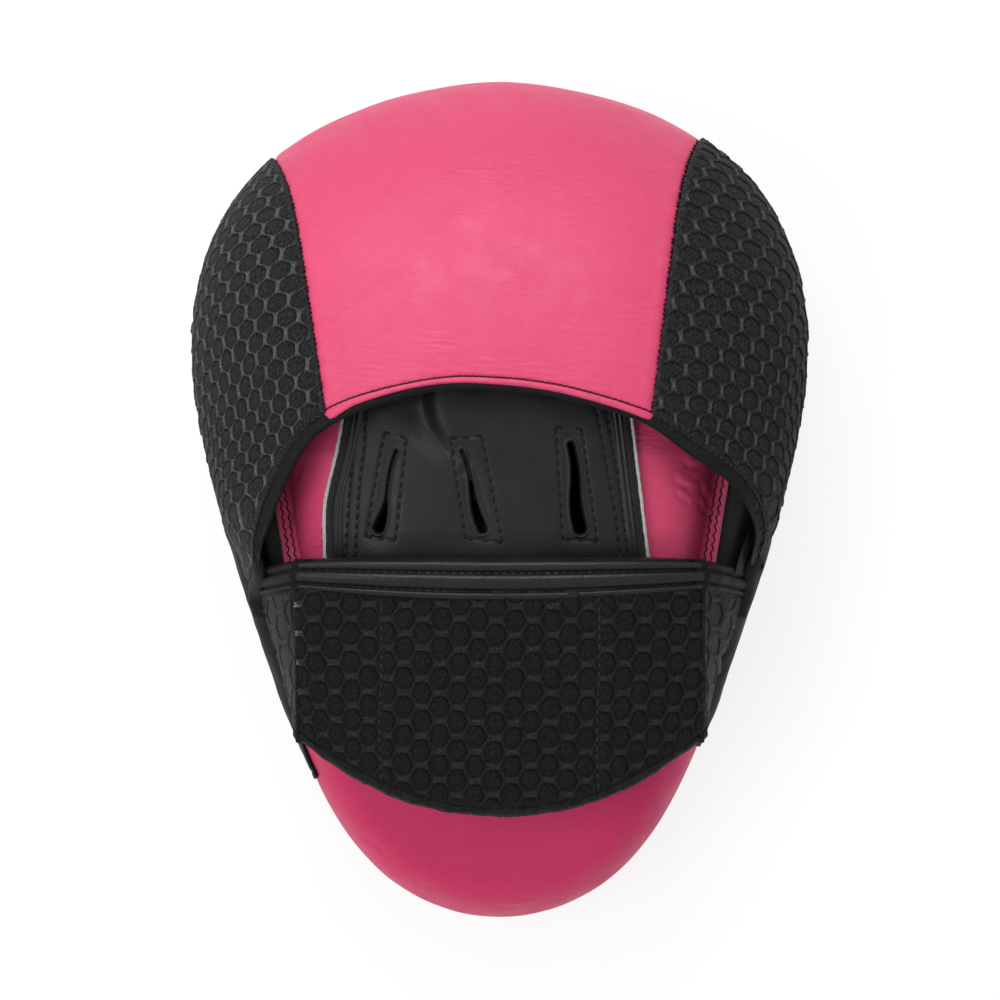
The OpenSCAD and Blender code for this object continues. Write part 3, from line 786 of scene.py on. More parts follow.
def honeycomb(q, first, second, seed, origin, wide, thin, painted_rib_light):
    """Relief of the spacer mesh over flat coordinates: its height in millimetres, and how light its yarn is, with
    painted shadow and painted highlights.

    First and second are the steps from a cell to two of its neighbours. The ribs between first neighbours are
    wide, and the others thin. The last argument is painted light: how light the thin ribs are, and how bright
    the painted highlights on the lips round the cells are. A quarter is the shade of the cells, and nothing
    that of the painted shadow along their edges.
    """
    # Even is the sheet drawn out so that its cells are regular hexagons
    even = np.linalg.inv(np.stack([first, second])) @ np.array([[1, 0], [0.5, sin(60)]])
    a, b = q[..., 0], q[..., 1]
    strayed = [q[..., k] - origin[k] + 0.4 * noise(a, b, 11, seed + k) + 0.12 * noise(a, b, 2.3, seed + 3 + k)
               for k in (0, 1)]
    flat = np.stack(strayed, -1) @ even
    row = np.floor(flat[..., 1] / sin(60))
    col = np.floor(flat[..., 0] - row / 2)
    offset, closest = flat, np.full(a.shape, 1e9)
    for i in (0, 1):
        for j in (0, 1):
            centre = np.stack([col + i + (row + j) / 2, (row + j) * sin(60)], -1)
            distance = np.linalg.norm(flat - centre, axis=-1)
            offset = np.where((distance < closest)[..., None], flat - centre, offset)
            closest = np.minimum(closest, distance)

    def to_side(angle):
        across = np.array([cos(angle), sin(angle)])
        return (0.5 - np.abs(offset @ across)) / np.linalg.norm(even @ across)

    fuzz = noise(a, b, 0.75, seed + 2)
    to_wide = to_side(0) - wide + 0.1 * fuzz
    to_thin = np.minimum(to_side(60), to_side(120)) - thin + 0.1 * fuzz
    near_wide, near_thin = np.exp(-CORNER_SHARPNESS * to_wide), np.exp(-CORNER_SHARPNESS * to_thin)
    inside = -np.log(near_wide + near_thin) / CORNER_SHARPNESS
    share = near_wide / (near_wide + near_thin)
    rib = 1 - smooth(inside / 0.5 + 0.55)
    lip = bell(inside + 0.25, 0.17)
    groove = bell(inside - 0.3, 0.3)
    height = RIB_HEIGHT * (rib * (0.85 + 0.18 * fuzz) + 0.18 * lip - 0.25 * groove + 0.3 * smooth(inside / 2.5))
    # Painted shadow along the cells' edges, darkest on one side of each cell, and painted highlights on the lips round
    # them
    shaded = (0.5 * offset[..., 0] + 0.85 * offset[..., 1]) / np.maximum(closest, 0.1)
    cell = 0.25 - (0.06 + 0.2 * np.clip(shaded, 0, 1)) * groove
    light = mix(cell, mix(painted_rib_light[0], 1.0, share) * (0.85 + 0.3 * fuzz), rib) + painted_rib_light[1] * lip
    return height, np.clip(light, 0, 1)


# ---------------------------------------------------------------- materials

class Shader:
    """A material's nodes, made and linked by short calls."""

    def __init__(self, name, roughness, **sockets):
        self.material = bpy.data.materials.new(name)
        self.material.use_nodes = True
        self.tree = self.material.node_tree
        self.bsdf = self.tree.nodes["Principled BSDF"]
        self.bsdf.inputs["Roughness"].default_value = roughness
        for key, value in sockets.items():
            self.bsdf.inputs[key.replace("_", " ")].default_value = value
        self.coords = self.tree.nodes.new("ShaderNodeTexCoord").outputs["Object"]

    def node(self, kind, links=None, **settings):
        made = self.tree.nodes.new("ShaderNode" + kind)
        for key, value in settings.items():
            setattr(made, key, value)
        for key, value in (links or {}).items():
            socket = made.inputs[key]
            if isinstance(value, bpy.types.NodeSocket):
                self.tree.links.new(value, socket)
            else:
                socket.default_value = value
        return made

    def attribute(self, name, output="Fac"):
        return self.node("Attribute", attribute_name=name).outputs[output]

    def noise(self, size, detail=2.0, coords=None):
        """Noise with features of that many millimetres."""
        return self.node("TexNoise", {"Vector": coords or self.coords, "Scale": 1 / (size * MM),
                                      "Detail": detail}).outputs["Fac"]

    def drawn_out(self, coords, turn, scale):
        return self.node("Mapping", {"Vector": coords, "Rotation": (0, 0, turn), "Scale": scale},
                         vector_type="TEXTURE").outputs["Vector"]

    def ramp(self, value, low, high, start=0.0, end=1.0):
        return self.node("MapRange", {"Value": value, "From Min": low, "From Max": high, "To Min": start,
                                      "To Max": end}).outputs["Result"]

    def math(self, operation, a, b):
        return self.node("Math", {0: a, 1: b}, operation=operation).outputs[0]

    def blend(self, share, first, second):
        first, second = (c if isinstance(c, bpy.types.NodeSocket) else (*c, 1.0) for c in (first, second))
        return self.node("Mix", {"Factor": share, 6: first, 7: second}, data_type="RGBA").outputs[2]

    def shades(self, value, low, high, colour, dark=0.6, light=1.35):
        """The colour, darker where the value is low and lighter where it is high."""
        return self.blend(self.ramp(value, low, high), [c * dark for c in colour], [c * light for c in colour])

    def put(self, key, value):
        self.tree.links.new(value, self.bsdf.inputs[key])

    def bump(self, height, depth, strength=1.0, under=None):
        """Relief of that many millimetres."""
        links = {"Height": height, "Distance": depth * MM, "Strength": strength}
        if under is not None:
            links["Normal"] = under
        return self.node("Bump", links).outputs["Normal"]


def leather_material(name, colour, dark, roughness, grain, relief, specular=0.5, drawn=0.0):
    """Coated synthetic leather: a fine pebble, slow changes of colour and a gloss that varies.

    Drawn is the strength of the fine, nearly level wrinkles of leather pulled over foam.
    """
    s = Shader(name, roughness, Specular_IOR_Level=specular)
    slow, fine = s.noise(38, 3), s.noise(2.2, 3)
    mixed = s.blend(s.ramp(slow, 0.3, 0.72), dark, colour)
    s.put("Base Color", s.blend(s.ramp(fine, 0.35, 0.75, 0.0, 0.35), mixed, [c * 1.12 for c in colour]))
    s.put("Roughness", s.ramp(s.noise(9, 4), 0.3, 0.7, roughness - 0.06, roughness + 0.09))
    pebble = s.node("TexVoronoi", {"Vector": s.coords, "Scale": 1 / (grain * MM)}, feature="SMOOTH_F1")
    surface = s.bump(pebble.outputs["Distance"], relief)
    surface = s.bump(s.noise(grain * 0.35, 3), relief * 0.5, under=surface)
    surface = s.bump(s.noise(7, 2), relief * 2.2, under=surface)
    if drawn:
        level = s.drawn_out(s.coords, -0.1, (5.0, 1.0, 1.6))
        lines = s.math("MULTIPLY", s.ramp(s.noise(1.3, 2, level), 0.35, 0.7), s.ramp(s.noise(22, 2), 0.42, 0.62))
        surface = s.bump(lines, drawn, under=surface)
    s.put("Normal", surface)
    return s.material


def mesh_material(name, recess, rib, fleck, contrast, specular=0.06):
    """Spacer mesh: a fine diagonal knit in the cells, lighter ribs, loose bright fibres, and painted shadow and
    highlights.
    """
    s = Shader(name, 0.55, Specular_IOR_Level=specular, Sheen_Weight=0.06, Sheen_Roughness=0.3)
    cloth = s.attribute("cloth", "Vector")
    mask = s.attribute("rib")
    drawn = s.drawn_out(cloth, 0.85, (1.25, 0.36, 1.0))
    strands = s.node("TexNoise", {"Vector": drawn, "Scale": 0.8, "Detail": 1.5, "Roughness": 0.5}).outputs["Fac"]
    twill = s.node("TexWave", {"Vector": cloth, "Scale": 0.55, "Distortion": 7.0, "Detail": 2.0, "Detail Scale": 1.0},
                   bands_direction="DIAGONAL").outputs["Fac"]
    fibre = s.node("TexNoise", {"Vector": cloth, "Scale": 1.5, "Detail": 4.0, "Roughness": 0.8}).outputs["Fac"]
    knit = s.math("ADD", s.math("MULTIPLY", s.ramp(strands, 0.3, 0.7), 0.75), s.math("MULTIPLY", twill, 0.25))
    in_cell = s.shades(knit, 0.28, 0.78, recess, 1 - contrast, 1 + 1.5 * contrast)
    # Painted shadow: where the rib attribute is under a quarter, along the cells' edges, the colour darkens towards a
    # fifth of the cells'
    shaded = s.blend(s.ramp(mask, 0.0, 0.25), [c * 0.2 for c in recess], in_cell)
    bright = s.blend(s.ramp(fibre, 0.58, 0.72), s.shades(fibre, 0.36, 0.62, rib, 0.5), fleck)
    # Painted highlight: where the rib attribute passes 1, on the ribs along the cuff's left fold, the colour turns pale
    # grey
    fold_highlight = s.math("MULTIPLY", s.ramp(mask, 1.0, 1.6), s.ramp(fibre, 0.42, 0.58))
    s.put("Base Color", s.blend(fold_highlight, s.blend(s.ramp(mask, 0.25, 1.0), shaded, bright), grey(0.5)))
    s.put("Normal", s.bump(fibre, 0.4, 0.9, under=s.bump(knit, 0.3, 0.9)))
    return s.material


def woven_material(name, colour, pitch, relief, roughness=0.7, sheen=0.03):
    """Woven or knitted cloth: two crossing waves of yarns."""
    s = Shader(name, roughness, Specular_IOR_Level=0.15, Sheen_Weight=sheen, Sheen_Roughness=0.4)
    waves = []
    for axis in ("X", "Y"):
        waves.append(s.node("TexWave", {"Vector": s.coords, "Scale": 0.31 / (pitch * MM), "Distortion": 1.2,
                                        "Detail": 2.0, "Detail Scale": 2.0}, bands_direction=axis).outputs["Fac"])
    weave = s.math("MULTIPLY", *waves)
    s.put("Base Color", s.shades(weave, 0.0, 0.8, colour))
    s.put("Roughness", s.ramp(s.noise(6), 0.3, 0.7, roughness - 0.06, roughness + 0.08))
    s.put("Normal", s.bump(s.noise(0.4, 3), relief * 0.6, under=s.bump(weave, relief)))
    return s.material


def thread_material(name, colour):
    """Twisted sewing thread."""
    s = Shader(name, 0.45, Specular_IOR_Level=0.2)
    waves = s.node("TexWave", {"Vector": s.coords, "Scale": 620.0, "Distortion": 2.0}, bands_direction="DIAGONAL")
    twist = waves.outputs["Fac"]
    s.put("Base Color", s.shades(twist, 0.2, 0.8, colour, light=1.3))
    s.put("Normal", s.bump(twist, 0.06))
    return s.material


def foam_material(name, colour):
    """Closed cell foam at a cut face."""
    s = Shader(name, 0.85, Specular_IOR_Level=0.3)
    cells = s.node("TexVoronoi", {"Vector": s.coords, "Scale": 1 / (0.9 * MM)}, feature="DISTANCE_TO_EDGE")
    s.put("Base Color", s.shades(cells.outputs["Distance"], 0.0, 0.25, colour, light=1))
    s.put("Normal", s.bump(cells.outputs["Distance"], 0.15))
    return s.material


# Names, a colour and a darker one, roughness, size and depth of the grain
pink = leather_material("pink_leather", (0.745, 0.072, 0.180), (0.715, 0.064, 0.166), 0.5, 0.85, 0.035,
                        specular=0.4, drawn=0.16)
# Painted shade and light: the pad's pink is the hood's made deeper and less hazy, as the pad lies lower, in shade; the
# hood's pink is the lit copy
shaded_pad_pink = leather_material("shaded_pad_leather", (0.76, 0.050, 0.164), (0.73, 0.043, 0.150), 0.5, 0.85, 0.035,
                            specular=0.25, drawn=0.08)
black = leather_material("black_leather", (0.0098, 0.0098, 0.0101), (0.0078, 0.0078, 0.0081), 0.40, 0.75, 0.04,
                         specular=0.2)
binding_leather = leather_material("binding_leather", (0.012, 0.012, 0.0123), (0.009, 0.009, 0.0093), 0.32, 0.6, 0.03,
                                   specular=0.22)
side_leather = leather_material("side_leather", (0.010, 0.010, 0.0102), (0.008, 0.008, 0.0082), 0.55, 0.6, 0.04,
                                specular=0.06)
# Names, colours in the cells, on the ribs and of loose fibres, and how much the knit shows
spacer_mesh = mesh_material("black_mesh", (0.020, 0.020, 0.0203), (0.120, 0.1205, 0.121), (0.42, 0.42, 0.423), 0.65)
cuff_mesh = mesh_material("cuff_mesh", (0.0125, 0.0125, 0.0127), (0.031, 0.0312, 0.0315), (0.14, 0.14, 0.142), 0.4,
                          specular=0.05)
# Names, colours, distance between the yarns and depth of the relief
tape_cloth = woven_material("black_tape", (0.0085, 0.009, 0.009), 0.55, 0.05)
lining_cloth = woven_material("lining", (0.011, 0.011, 0.0115), 0.7, 0.1)
fleece = woven_material("fleece_edge", (0.022, 0.0225, 0.0225), 0.45, 0.25, 0.8, 0.2)
pale_edge = woven_material("cut_edge", (0.62, 0.60, 0.58), 0.5, 0.1, 0.8, 0.0)
flange_edge = woven_material("flange_cut", (0.42, 0.20, 0.25), 0.5, 0.1, 0.8, 0.0)
black_thread = thread_material("black_thread", grey(0.004))
seam_thread = thread_material("seam_thread", (0.028, 0.028, 0.029))
foam = foam_material("foam", (0.35, 0.35, 0.34))


# ---------------------------------------------------------------- pad

def pad_point(t, a, d=0.0):
    """The pad's side at angle t round the outline and a round its edge, from the front seam to the back."""
    low = a < 0
    inset = np.where(low, FRONT_ROUND, BACK_ROUND) * (1 - cos(a)) + d * cos(a)
    h = np.where(low, BELLY_HEIGHT * (1 + sin(a)), BELLY_HEIGHT + (PAD_THICKNESS - BELLY_HEIGHT) * sin(a)) - d * sin(a)
    x, y = rim(t, inset)
    return bent(x, y, h)


def around(count):
    """Angles round the outline that are evenly spaced along it."""
    t = np.linspace(0, 360, 1441)
    x, y = rim(t)
    s = lengths(np.stack([x, y], -1))
    return np.interp(np.linspace(0, s[-1], count, endpoint=False), s, t), s[-1]


def pad_skin():
    t, perimeter = around(680)
    arc = np.linspace(0, perimeter, len(t), endpoint=False)
    side = pad_point(t[None], as_column((-SEAM_ANGLE, 0, 22), (3, 90, 28)))
    inner = as_column((0.99, 0.56, 32), (0.5, 0.3, 3))
    x, y = rim(t, BACK_ROUND)
    back = bent(x * inner, y * inner, PAD_THICKNESS)
    p = np.concatenate([side, back])
    from_seam = spans(p)[1].mean(1)[:, None]
    gathers = np.sin(arc / 3.1 + 2.5 * noise(arc, 0, 16, 5)) * (0.5 + 0.5 * noise(arc, 4, 9, 6))
    relief = 0.32 * gathers[None] * np.exp(-from_seam / 4.5)
    relief = relief + 0.3 * noise(p[..., 0], p[..., 1] + 2 * p[..., 2], 26, 7) * smooth(from_seam / 12)
    relief = relief + 0.12 * plan_noise(p, 9, 8) * smooth(from_seam / 10)
    chin = [((-3, -124.5), (6, -127.5), 0.7, 0.3), ((1, -125), (9, -126.5), 0.6, 0.25),
            ((-34, -112), (-44, -101), 1.0, 0.25), ((36, -108), (43, -98), 0.9, 0.2),
            ((-20, -121), (-27, -118), 0.8, 0.2)]
    relief = creased(relief, p[..., 0], p[..., 1], chin, p[..., 1] < -80) + settle(p, 0.25, ring=True)
    return grid_object("pad_skin", p + relief[..., None] * ring_normals(p), shaded_pad_pink, wrap_cols=True)


def piping():
    t, perimeter = around(620)
    arc = np.linspace(0, perimeter, len(t), endpoint=False)
    x, y = rim(t, PIPING_INSET)
    path = bent(x, y, SEAM_H)
    radius = PIPING_D / 2 * (1 + 0.05 * noise(arc, 0, 3.2, 9) - 0.03)
    return tube("pad_piping", path, (0, 0, 1), radius, binding_leather, sides=14, closed=True)


def face_skin():
    t, perimeter = around(420)
    shares = 1 - as_column((0, 0.12, 18), (0.135, 0.97, 90))
    x, y = rim(t[::-1], FACE_INSET - 0.8)
    x, y = x * shares, y * shares
    from_edge = (1 - shares) * np.hypot(*rim(t[::-1], FACE_INSET))
    r = np.hypot(x, y)
    h = 2.2 * np.exp(-from_edge / 2.6) + 0.5 * bell(r - 38, 1.1) + 0.45 * bell(r - 41, 1.1)
    h = h + 0.35 * noise(x, y, 30, 11) + 0.1 * noise(x, y, 8, 12) - 0.3
    gathers = np.sin(np.linspace(0, perimeter, len(t)) / 2.9 + 2 * noise(np.arange(len(t)), 0, 14, 13))
    h = h + 0.25 * gathers[None] * np.exp(-from_edge / 4)
    h = h - settle(bent(x, y, 0), 1.5, ring=True) * smooth((r - 33) / 12)
    return grid_object("face_skin", bent(x, y, h), shaded_pad_pink, wrap_cols=True)


def target():
    a = np.linspace(360, 0, 160, endpoint=False)
    r = TARGET_D / 2 * np.array([1.0, 1.0, 0.985, 0.955, 0.92, 0.9, 0.88, 0.8, 0.65, 0.5, 0.35, 0.2, 0.05])[:, None]
    h = -np.array([0.1, 0.7, 1.05, 1.2, 1.1, 0.8, 1.15, 1.3, 1.35, 1.35, 1.35, 1.35, 1.35])[:, None]
    x, y = r * cos(a)[None], r * sin(a)[None]
    p = bent(x, y, h - 0.06 * noise(x, y, 7, 14))
    return grid_object("target_skin", p, black, wrap_cols=True)


PALM_REACH = 3.4             # the palm leather runs over the pad's round edge, to this far inside the outline


def palm_half(y):
    s = y / (HALF_LENGTH - PALM_REACH)
    return (half_width(s) - PALM_REACH) * np.sqrt(power(1 - s ** 2, 1))


def palm_skin():
    y = as_column((-PALM_DROP, HALF_LENGTH - PALM_REACH - 3, 200))
    beside = np.linspace(0, 0.2, 40) ** 1.2
    u = np.concatenate([beside - 1, np.linspace(-0.83, 0.83, 150), 1 - beside[::-1]])[None]
    x = u * palm_half(y)
    edge = np.minimum((1 - np.abs(u)) * palm_half(y), y + PALM_DROP)
    inset = PALM_REACH + (1 - np.abs(u)) * palm_half(y)
    fold = np.where(inset < BACK_ROUND, back_h(np.minimum(inset, BACK_ROUND)), PAD_THICKNESS)
    h = fold + CLEAR + LEATHER * smooth((y + PALM_DROP) / 3) + 0.3 * noise(x, y, 16, 21) + 0.1 * noise(x, y, 5, 22)
    h = h - 0.3 * bell(edge - 3.2, 0.7)
    return grid_object("palm_skin", bent(x, y, h), black, turn_in=1.2)


def palm_ball():
    a = turn_angles(120)
    share = as_column((1, 0.02, 40))
    r = BALL_R * share
    sphere = (BALL_R ** 2 + BALL_HEIGHT ** 2) / (2 * BALL_HEIGHT)
    rise = np.sqrt(sphere ** 2 - r ** 2) - (sphere - BALL_HEIGHT)
    x, y = r * cos(a), r * sin(a) - BALL_DROP
    rise = rise - 0.35 * bell(share - 0.9, 0.025) + 0.12 * noise(x, y, 9, 23)
    base = bend(-BALL_DROP, GLOVE_H)
    z = mix(np.minimum(base, bend(y, GLOVE_H)), base, smooth((1 - share) * 6)) + rise
    return grid_object("palm_ball_skin", points(x, y, z), black, wrap_cols=True)


# ---------------------------------------------------------------- glove

# Each vent: its upper end, its lower end, its half width at each, where along it the lips part, and the
# corners of the stitches that are sewn round it.
VENTS = [
    ((-31.4, 15.0), (-36.8, -8.6), 0.0, 1.35, 0.55, ((-34.9, 20.5), (-28.3, 18.4), (-31.6, -12.3), (-40.6, -11.1))),
    ((-11.6, 14.8), (-5.3, -8.8), 0.1, 1.15, 0.2, ((-15.0, 18.4), (-5.4, 19.3), (0.6, -12.9), (-10.2, -11.7))),
    ((21.4, 16.6), (24.3, -8.6), 0.75, 1.75, 0.0, ((16.9, 22.0), (24.7, 21.4), (29.5, -12.6), (19.0, -12.0))),
]
# Rows of stitches down both sides of the panel, left and then right, the outer one first
PANEL_ROWS = (
    ((-44.2, 27), (-44.3, 15), (-45.6, 2), (-47.0, -17.5)), ((-40.9, 28), (-41, 16.9), (-42.6, 4), (-44.0, -17.5)),
    ((31.5, 30), (35.6, 7.5), (37.6, -5.4), (39.0, -18.5)), ((28.8, 29), (32.7, 7.5), (35.1, -5.4), (36.4, -18.5)),
)


def vent_distance(x, y, top, low, narrow, wide, parts=0.0):
    """Distance outside a vent's edge, and the direction away from its middle line."""
    ax, ay = low[0] - top[0], low[1] - top[1]
    length = math.hypot(ax, ay)
    s = np.clip(((x - top[0]) * ax + (y - top[1]) * ay) / length ** 2, 0, 1)
    sway = 0.5 * np.sin(2 * math.pi * s) * np.sign(ax)
    dx, dy = x - top[0] - s * ax - sway, y - top[1] - s * ay
    far = np.maximum(np.hypot(dx, dy), 1e-6)
    return far - mix(narrow, wide, smooth((s - parts) / (1 - parts))), dx / far, dy / far


def row_distance(x, y, corners):
    """Distance from a row of stitches in plan."""
    nearest = np.full(np.shape(x), 1e3)
    for (x0, y0), (x1, y1) in zip(corners[:-1], corners[1:]):
        ax, ay = x1 - x0, y1 - y0
        s = np.clip(((x - x0) * ax + (y - y0) * ay) / (ax * ax + ay * ay), 0, 1)
        nearest = np.minimum(nearest, np.hypot(x - x0 - s * ax, y - y0 - s * ay))
    return nearest


def glove_back():
    y = as_column((-GLOVE_TAIL, -22, 24), (-21.6, 34, 220), (35.5, 99, 44))
    left, right = glove_angle(panel_x(-1, y), y), glove_angle(panel_x(1, y), y)
    p = glove_point(mix(left, right, as_row((0, 1, 345))), y, 0)
    x = p[..., 0]
    y = np.broadcast_to(y, x.shape)
    n = normals(p)
    relief = 0.4 * noise(x, y, 19, 31) + 0.14 * noise(x, y, 7, 32)
    hole = np.full(x.shape, 9.0)
    shift = np.zeros(x.shape + (2,))
    for top, low, narrow, wide, parts, patch in VENTS:
        gap, dx, dy = vent_distance(x, y, top, low, narrow, wide, parts)
        relief = relief + 0.32 * bell(gap - 0.75, 0.45) - 1.5 * bell(np.maximum(gap, 0), 0.3)
        relief = relief - 0.5 * bell(gap, 3.0)
        near = np.abs(gap) < 0.16
        shift[near] += -(gap[..., None] * np.stack([dx, dy], -1))[near]
        hole = np.minimum(hole, gap)
        relief = relief - 0.22 * bell(row_distance(x, y, patch + patch[:1]), 0.5)
    for row in PANEL_ROWS:
        relief = relief - 0.2 * bell(row_distance(x, y, row), 0.55)
    # The fold between the first two fingers. The leather on its right swells over a valley on its left.
    fold_x = -21.5 + 10.5 * smooth((34 - y) / 30) ** 1.5
    depth = smooth((y - 7) / 18)
    across = x - fold_x
    relief = relief + depth * (2.3 * smooth((across + 2.6) / 5.2) * bell(np.maximum(across - 2, 0), 11)
                               - 2.0 * bell(across + 4, 5.0))
    relief = relief + wrinkle(x, y, (-13.2, 8.0), (-7.5, 12.5), 1.3, 0.4, 0.3)
    p = p + relief[..., None] * n
    p[..., :2] += shift
    return grid_object("glove_back", p, black, keep=cell_mean(hole) > 0)


GLOVE_CREASES = {
    -1: [((-62, 0), (-66, -14), 0.8, 0.3), ((-58, 12), (-64, 4), 0.9, 0.25)],
    1: [((52, 8), (58, 2), 1.0, 0.5), ((53, 4), (57, -2), 0.8, 0.4), ((61, 7), (64, -4), 0.9, 0.5),
        ((60, 1), (66, -8), 0.9, 0.5), ((55, 12), (62, 9), 1.0, 0.4)],
}


def glove_side(side, name):
    y = as_column((-GLOVE_TAIL, -22, 24), (-21, 36, 96), (38, 88, 30))
    inner = glove_angle(panel_x(side, y) - side * 4, y)
    foot = 180 if side < 0 else 0
    arch = glove_point(mix(inner, foot, as_row((0, 0.9, 52))), y, GLOVE_SIDE_D - 0.6)
    edge = glove_w(y) - GLOVE_SIDE_D
    reach = np.concatenate([[0.9], np.linspace(1.6, FLANGE_WIDTH + 1.8, 12)])[None]
    flange = bent(side * (edge + reach), y, GLOVE_H + LEATHER + 0.4 + 1.1 * np.exp(-(reach - 0.9) / 0.8))
    p = np.concatenate([arch, flange], 1)
    for _ in range(3):
        p[:, 50:56] = (p[:, 49:55] + 2 * p[:, 50:56] + p[:, 51:57]) / 4
    if side < 0:
        p = p[:, ::-1]
    x, y = p[..., 0], p[..., 1]
    out = side * x - (glove_w(y) - GLOVE_SIDE_D)
    relief = 0.5 * noise(x, y, 14, 41 + side) * smooth(-out / 5) + 0.12 * noise(x, y, 5, 43 + side)
    relief = relief - 0.2 * bell(out - 2.1, 0.5) - 0.2 * bell(out - 4.0, 0.5)
    return grid_object(name, raised(p, creased(relief, x, y, GLOVE_CREASES[side])), pink, turn_in=1.0)


def edge_strip(side, name, offsets, heights, material, rough=0.0):
    """A strip along the glove's back panel: offsets across it, outwards, and heights over the glove."""
    y = as_column((-GLOVE_TAIL, -24, 20), (-22, 36, 150), (38, 80, 24))
    x = panel_x(side, y) + side * np.array(offsets)[None]
    lift = np.array(heights)[None] + rough * noise(np.arange(len(offsets))[None] * 3.0, y, 0.9, 51 + side)
    p = glove_point(glove_angle(x, y), y, -lift)
    return grid_object(name, p if side > 0 else p[:, ::-1], material)


def glove_edges(side, tag):
    ridges = edge_strip(side, "glove_ridges_" + tag, [-5.2, -4.7, -4.3, -3.9, -3.5, -3.2, -2.9, -2.6, -2.2],
                        [-0.2, 0.45, 0.7, 0.45, 0.1, 0.55, 0.8, 0.6, 0.0], binding_leather)
    strip = edge_strip(side, "glove_fleece_" + tag, [-2.3, -2.1, -1.7, -1.3, -0.9, -0.5, -0.2, 0.0],
                       [0.0, 0.6, 0.8, 0.75, 0.8, 0.75, 0.6, 0.1], fleece, 0.16)
    cut = edge_strip(side, "glove_cut_edge_" + tag, [-0.1, 0.0, 0.4, 0.8, 1.0, 1.05], [0.2, 0.75, 0.85, 0.7, 0.2, -1.4],
                     pale_edge, 0.14)
    return [ridges, strip, cut]


def glove_lining():
    y = as_column((-GLOVE_TAIL, 60, 60), (64, 99, 20))
    p = glove_point(as_row((8, 172, 90)), y, GLOVE_LINING_D + LINING / 2)
    relief = 0.25 * noise(p[..., 0], y + 0 * p[..., 0], 12, 55)
    x, rows = p[..., 0], np.broadcast_to(y, p.shape[:2])
    hole = np.minimum.reduce([vent_distance(x, rows, *v[:3], v[3] + 0.4)[0] for v in VENTS]) + 0.2
    return grid_object("glove_lining_cloth", raised(p, relief), lining_cloth, keep=cell_mean(hole) > 1.3)


def palm_lining():
    y = as_column((-GLOVE_TAIL, FINGER_Y, 90), (62, 0.94 * GLOVE_REACH, 22))
    x = as_row((-1, 1, 120)) * (glove_w(y) - GLOVE_LINING_D - LINING - CLEAR)
    far = np.hypot(x, y + BALL_DROP) - BALL_R
    h = GLOVE_H + LINING + 0.12 * noise(x, y, 10, 56)
    centre = (far[:-1, :-1] + far[1:, 1:]) / 2
    return grid_object("palm_lining_cloth", bent(x, y, h), lining_cloth, keep=centre > 0.6)


FINGER_WALLS = (-34.0, -8.5, 22.5)


def divider_wall(name, x, y_from, y_to):
    """A sewn wall inside the glove, with a slight bulge."""
    y = as_column((y_from, y_to, 40))
    share = as_row((0, 1, 14))
    depth = GLOVE_LINING_D + LINING + 2 * CLEAR
    far = abs(x) + 0.6
    roof = glove_point(glove_angle(far, y, depth), y, depth)[..., 2]
    z = mix(bend(y, CAVITY_H + CLEAR), roof, share)
    bow = x + 0.5 * np.sin(math.pi * share) * np.sin(y / 6)
    wall = points(bow + 0.35, y, z)
    other = points(bow - 0.35, y, z)
    p = np.concatenate([wall, other[:, ::-1]], 1)
    return grid_object(name, p, lining_cloth, wrap_cols=True)


# ---------------------------------------------------------------- hood

def wing_relief(p, seam_col, cell_at, first, second, seed, thin, painted_rib_light):
    """The honeycomb over one wing: height, yarn shade with painted shadow and painted highlights, and flat coordinates.

    Cell_at is the middle of one cell in plan, and first and second are the steps to its neighbours there.
    """
    rows, cols = p.shape[:2]
    coarse = resample(p, 34, 50)
    q = resample(flatten(coarse), rows, cols)
    i, j = np.unravel_index(np.argmin(np.linalg.norm(p[..., :2] - cell_at, axis=-1)), (rows, cols))
    i, j = np.clip(i, 6, rows - 7), np.clip(j, 6, cols - 7)
    plan = np.stack([p[i + 5, j, :2] - p[i - 5, j, :2], p[i, j + 5, :2] - p[i, j - 5, :2]])
    flat = np.stack([q[i + 5, j] - q[i - 5, j], q[i, j + 5] - q[i, j - 5]])
    # Laid so that flat X and Y run as the object's X and Y there
    to_flat = np.linalg.inv(plan) @ flat
    if np.linalg.det(to_flat) < 0:
        q, to_flat = q * (1, -1), to_flat * (1, -1)
    turn = math.atan2(to_flat[1, 0] - to_flat[0, 1], to_flat[0, 0] + to_flat[1, 1])
    c, s = math.cos(turn), math.sin(turn)
    upright = np.array([[c, s], [-s, c]])
    q, to_flat = q @ upright, to_flat @ upright
    # Towards the tip the sheet is drawn out, so that its cells stay as wide as they are in plan
    in_plan = (p[..., :2] - p[i, j, :2]) @ to_flat + q[i, j]
    drawn = 0.6 * smooth((34 - p[..., 1:2]) / 40)
    q = mix(q, in_plan, drawn)
    height, light = honeycomb(q, np.array(first) @ to_flat, np.array(second) @ to_flat, seed, q[i, j], 0.66, thin, painted_rib_light)
    across, from_opening = spans(p)
    from_seam = np.abs(across - across[:, seam_col][:, None])
    from_tip = np.abs(across - across[:, 0 if seam_col else -1][:, None])
    from_rim = from_opening[-1][None] - from_opening
    border = np.minimum.reduce([from_seam - 0.5, from_opening - 0.2, from_rim - 0.6, from_tip - 0.4])
    fade = smooth(border / 1.2)
    pressed = 0.22 * plan_noise(q, 0.9, seed + 5)
    height = height * fade + pressed * (1 - fade) - 0.9 * (1 - smooth((from_seam + 0.2) / 1.6))
    waves = 0.4 * plan_noise(q, 22, seed + 6) + 0.15 * plan_noise(q, 10, seed + 7)
    # The tip is pressed thin where it is sewn down
    calm = 0.25 + 0.75 * smooth((p[..., 1] + 16) / 14)
    return (height + waves * fade) * calm, mix(0.3, light, fade), q


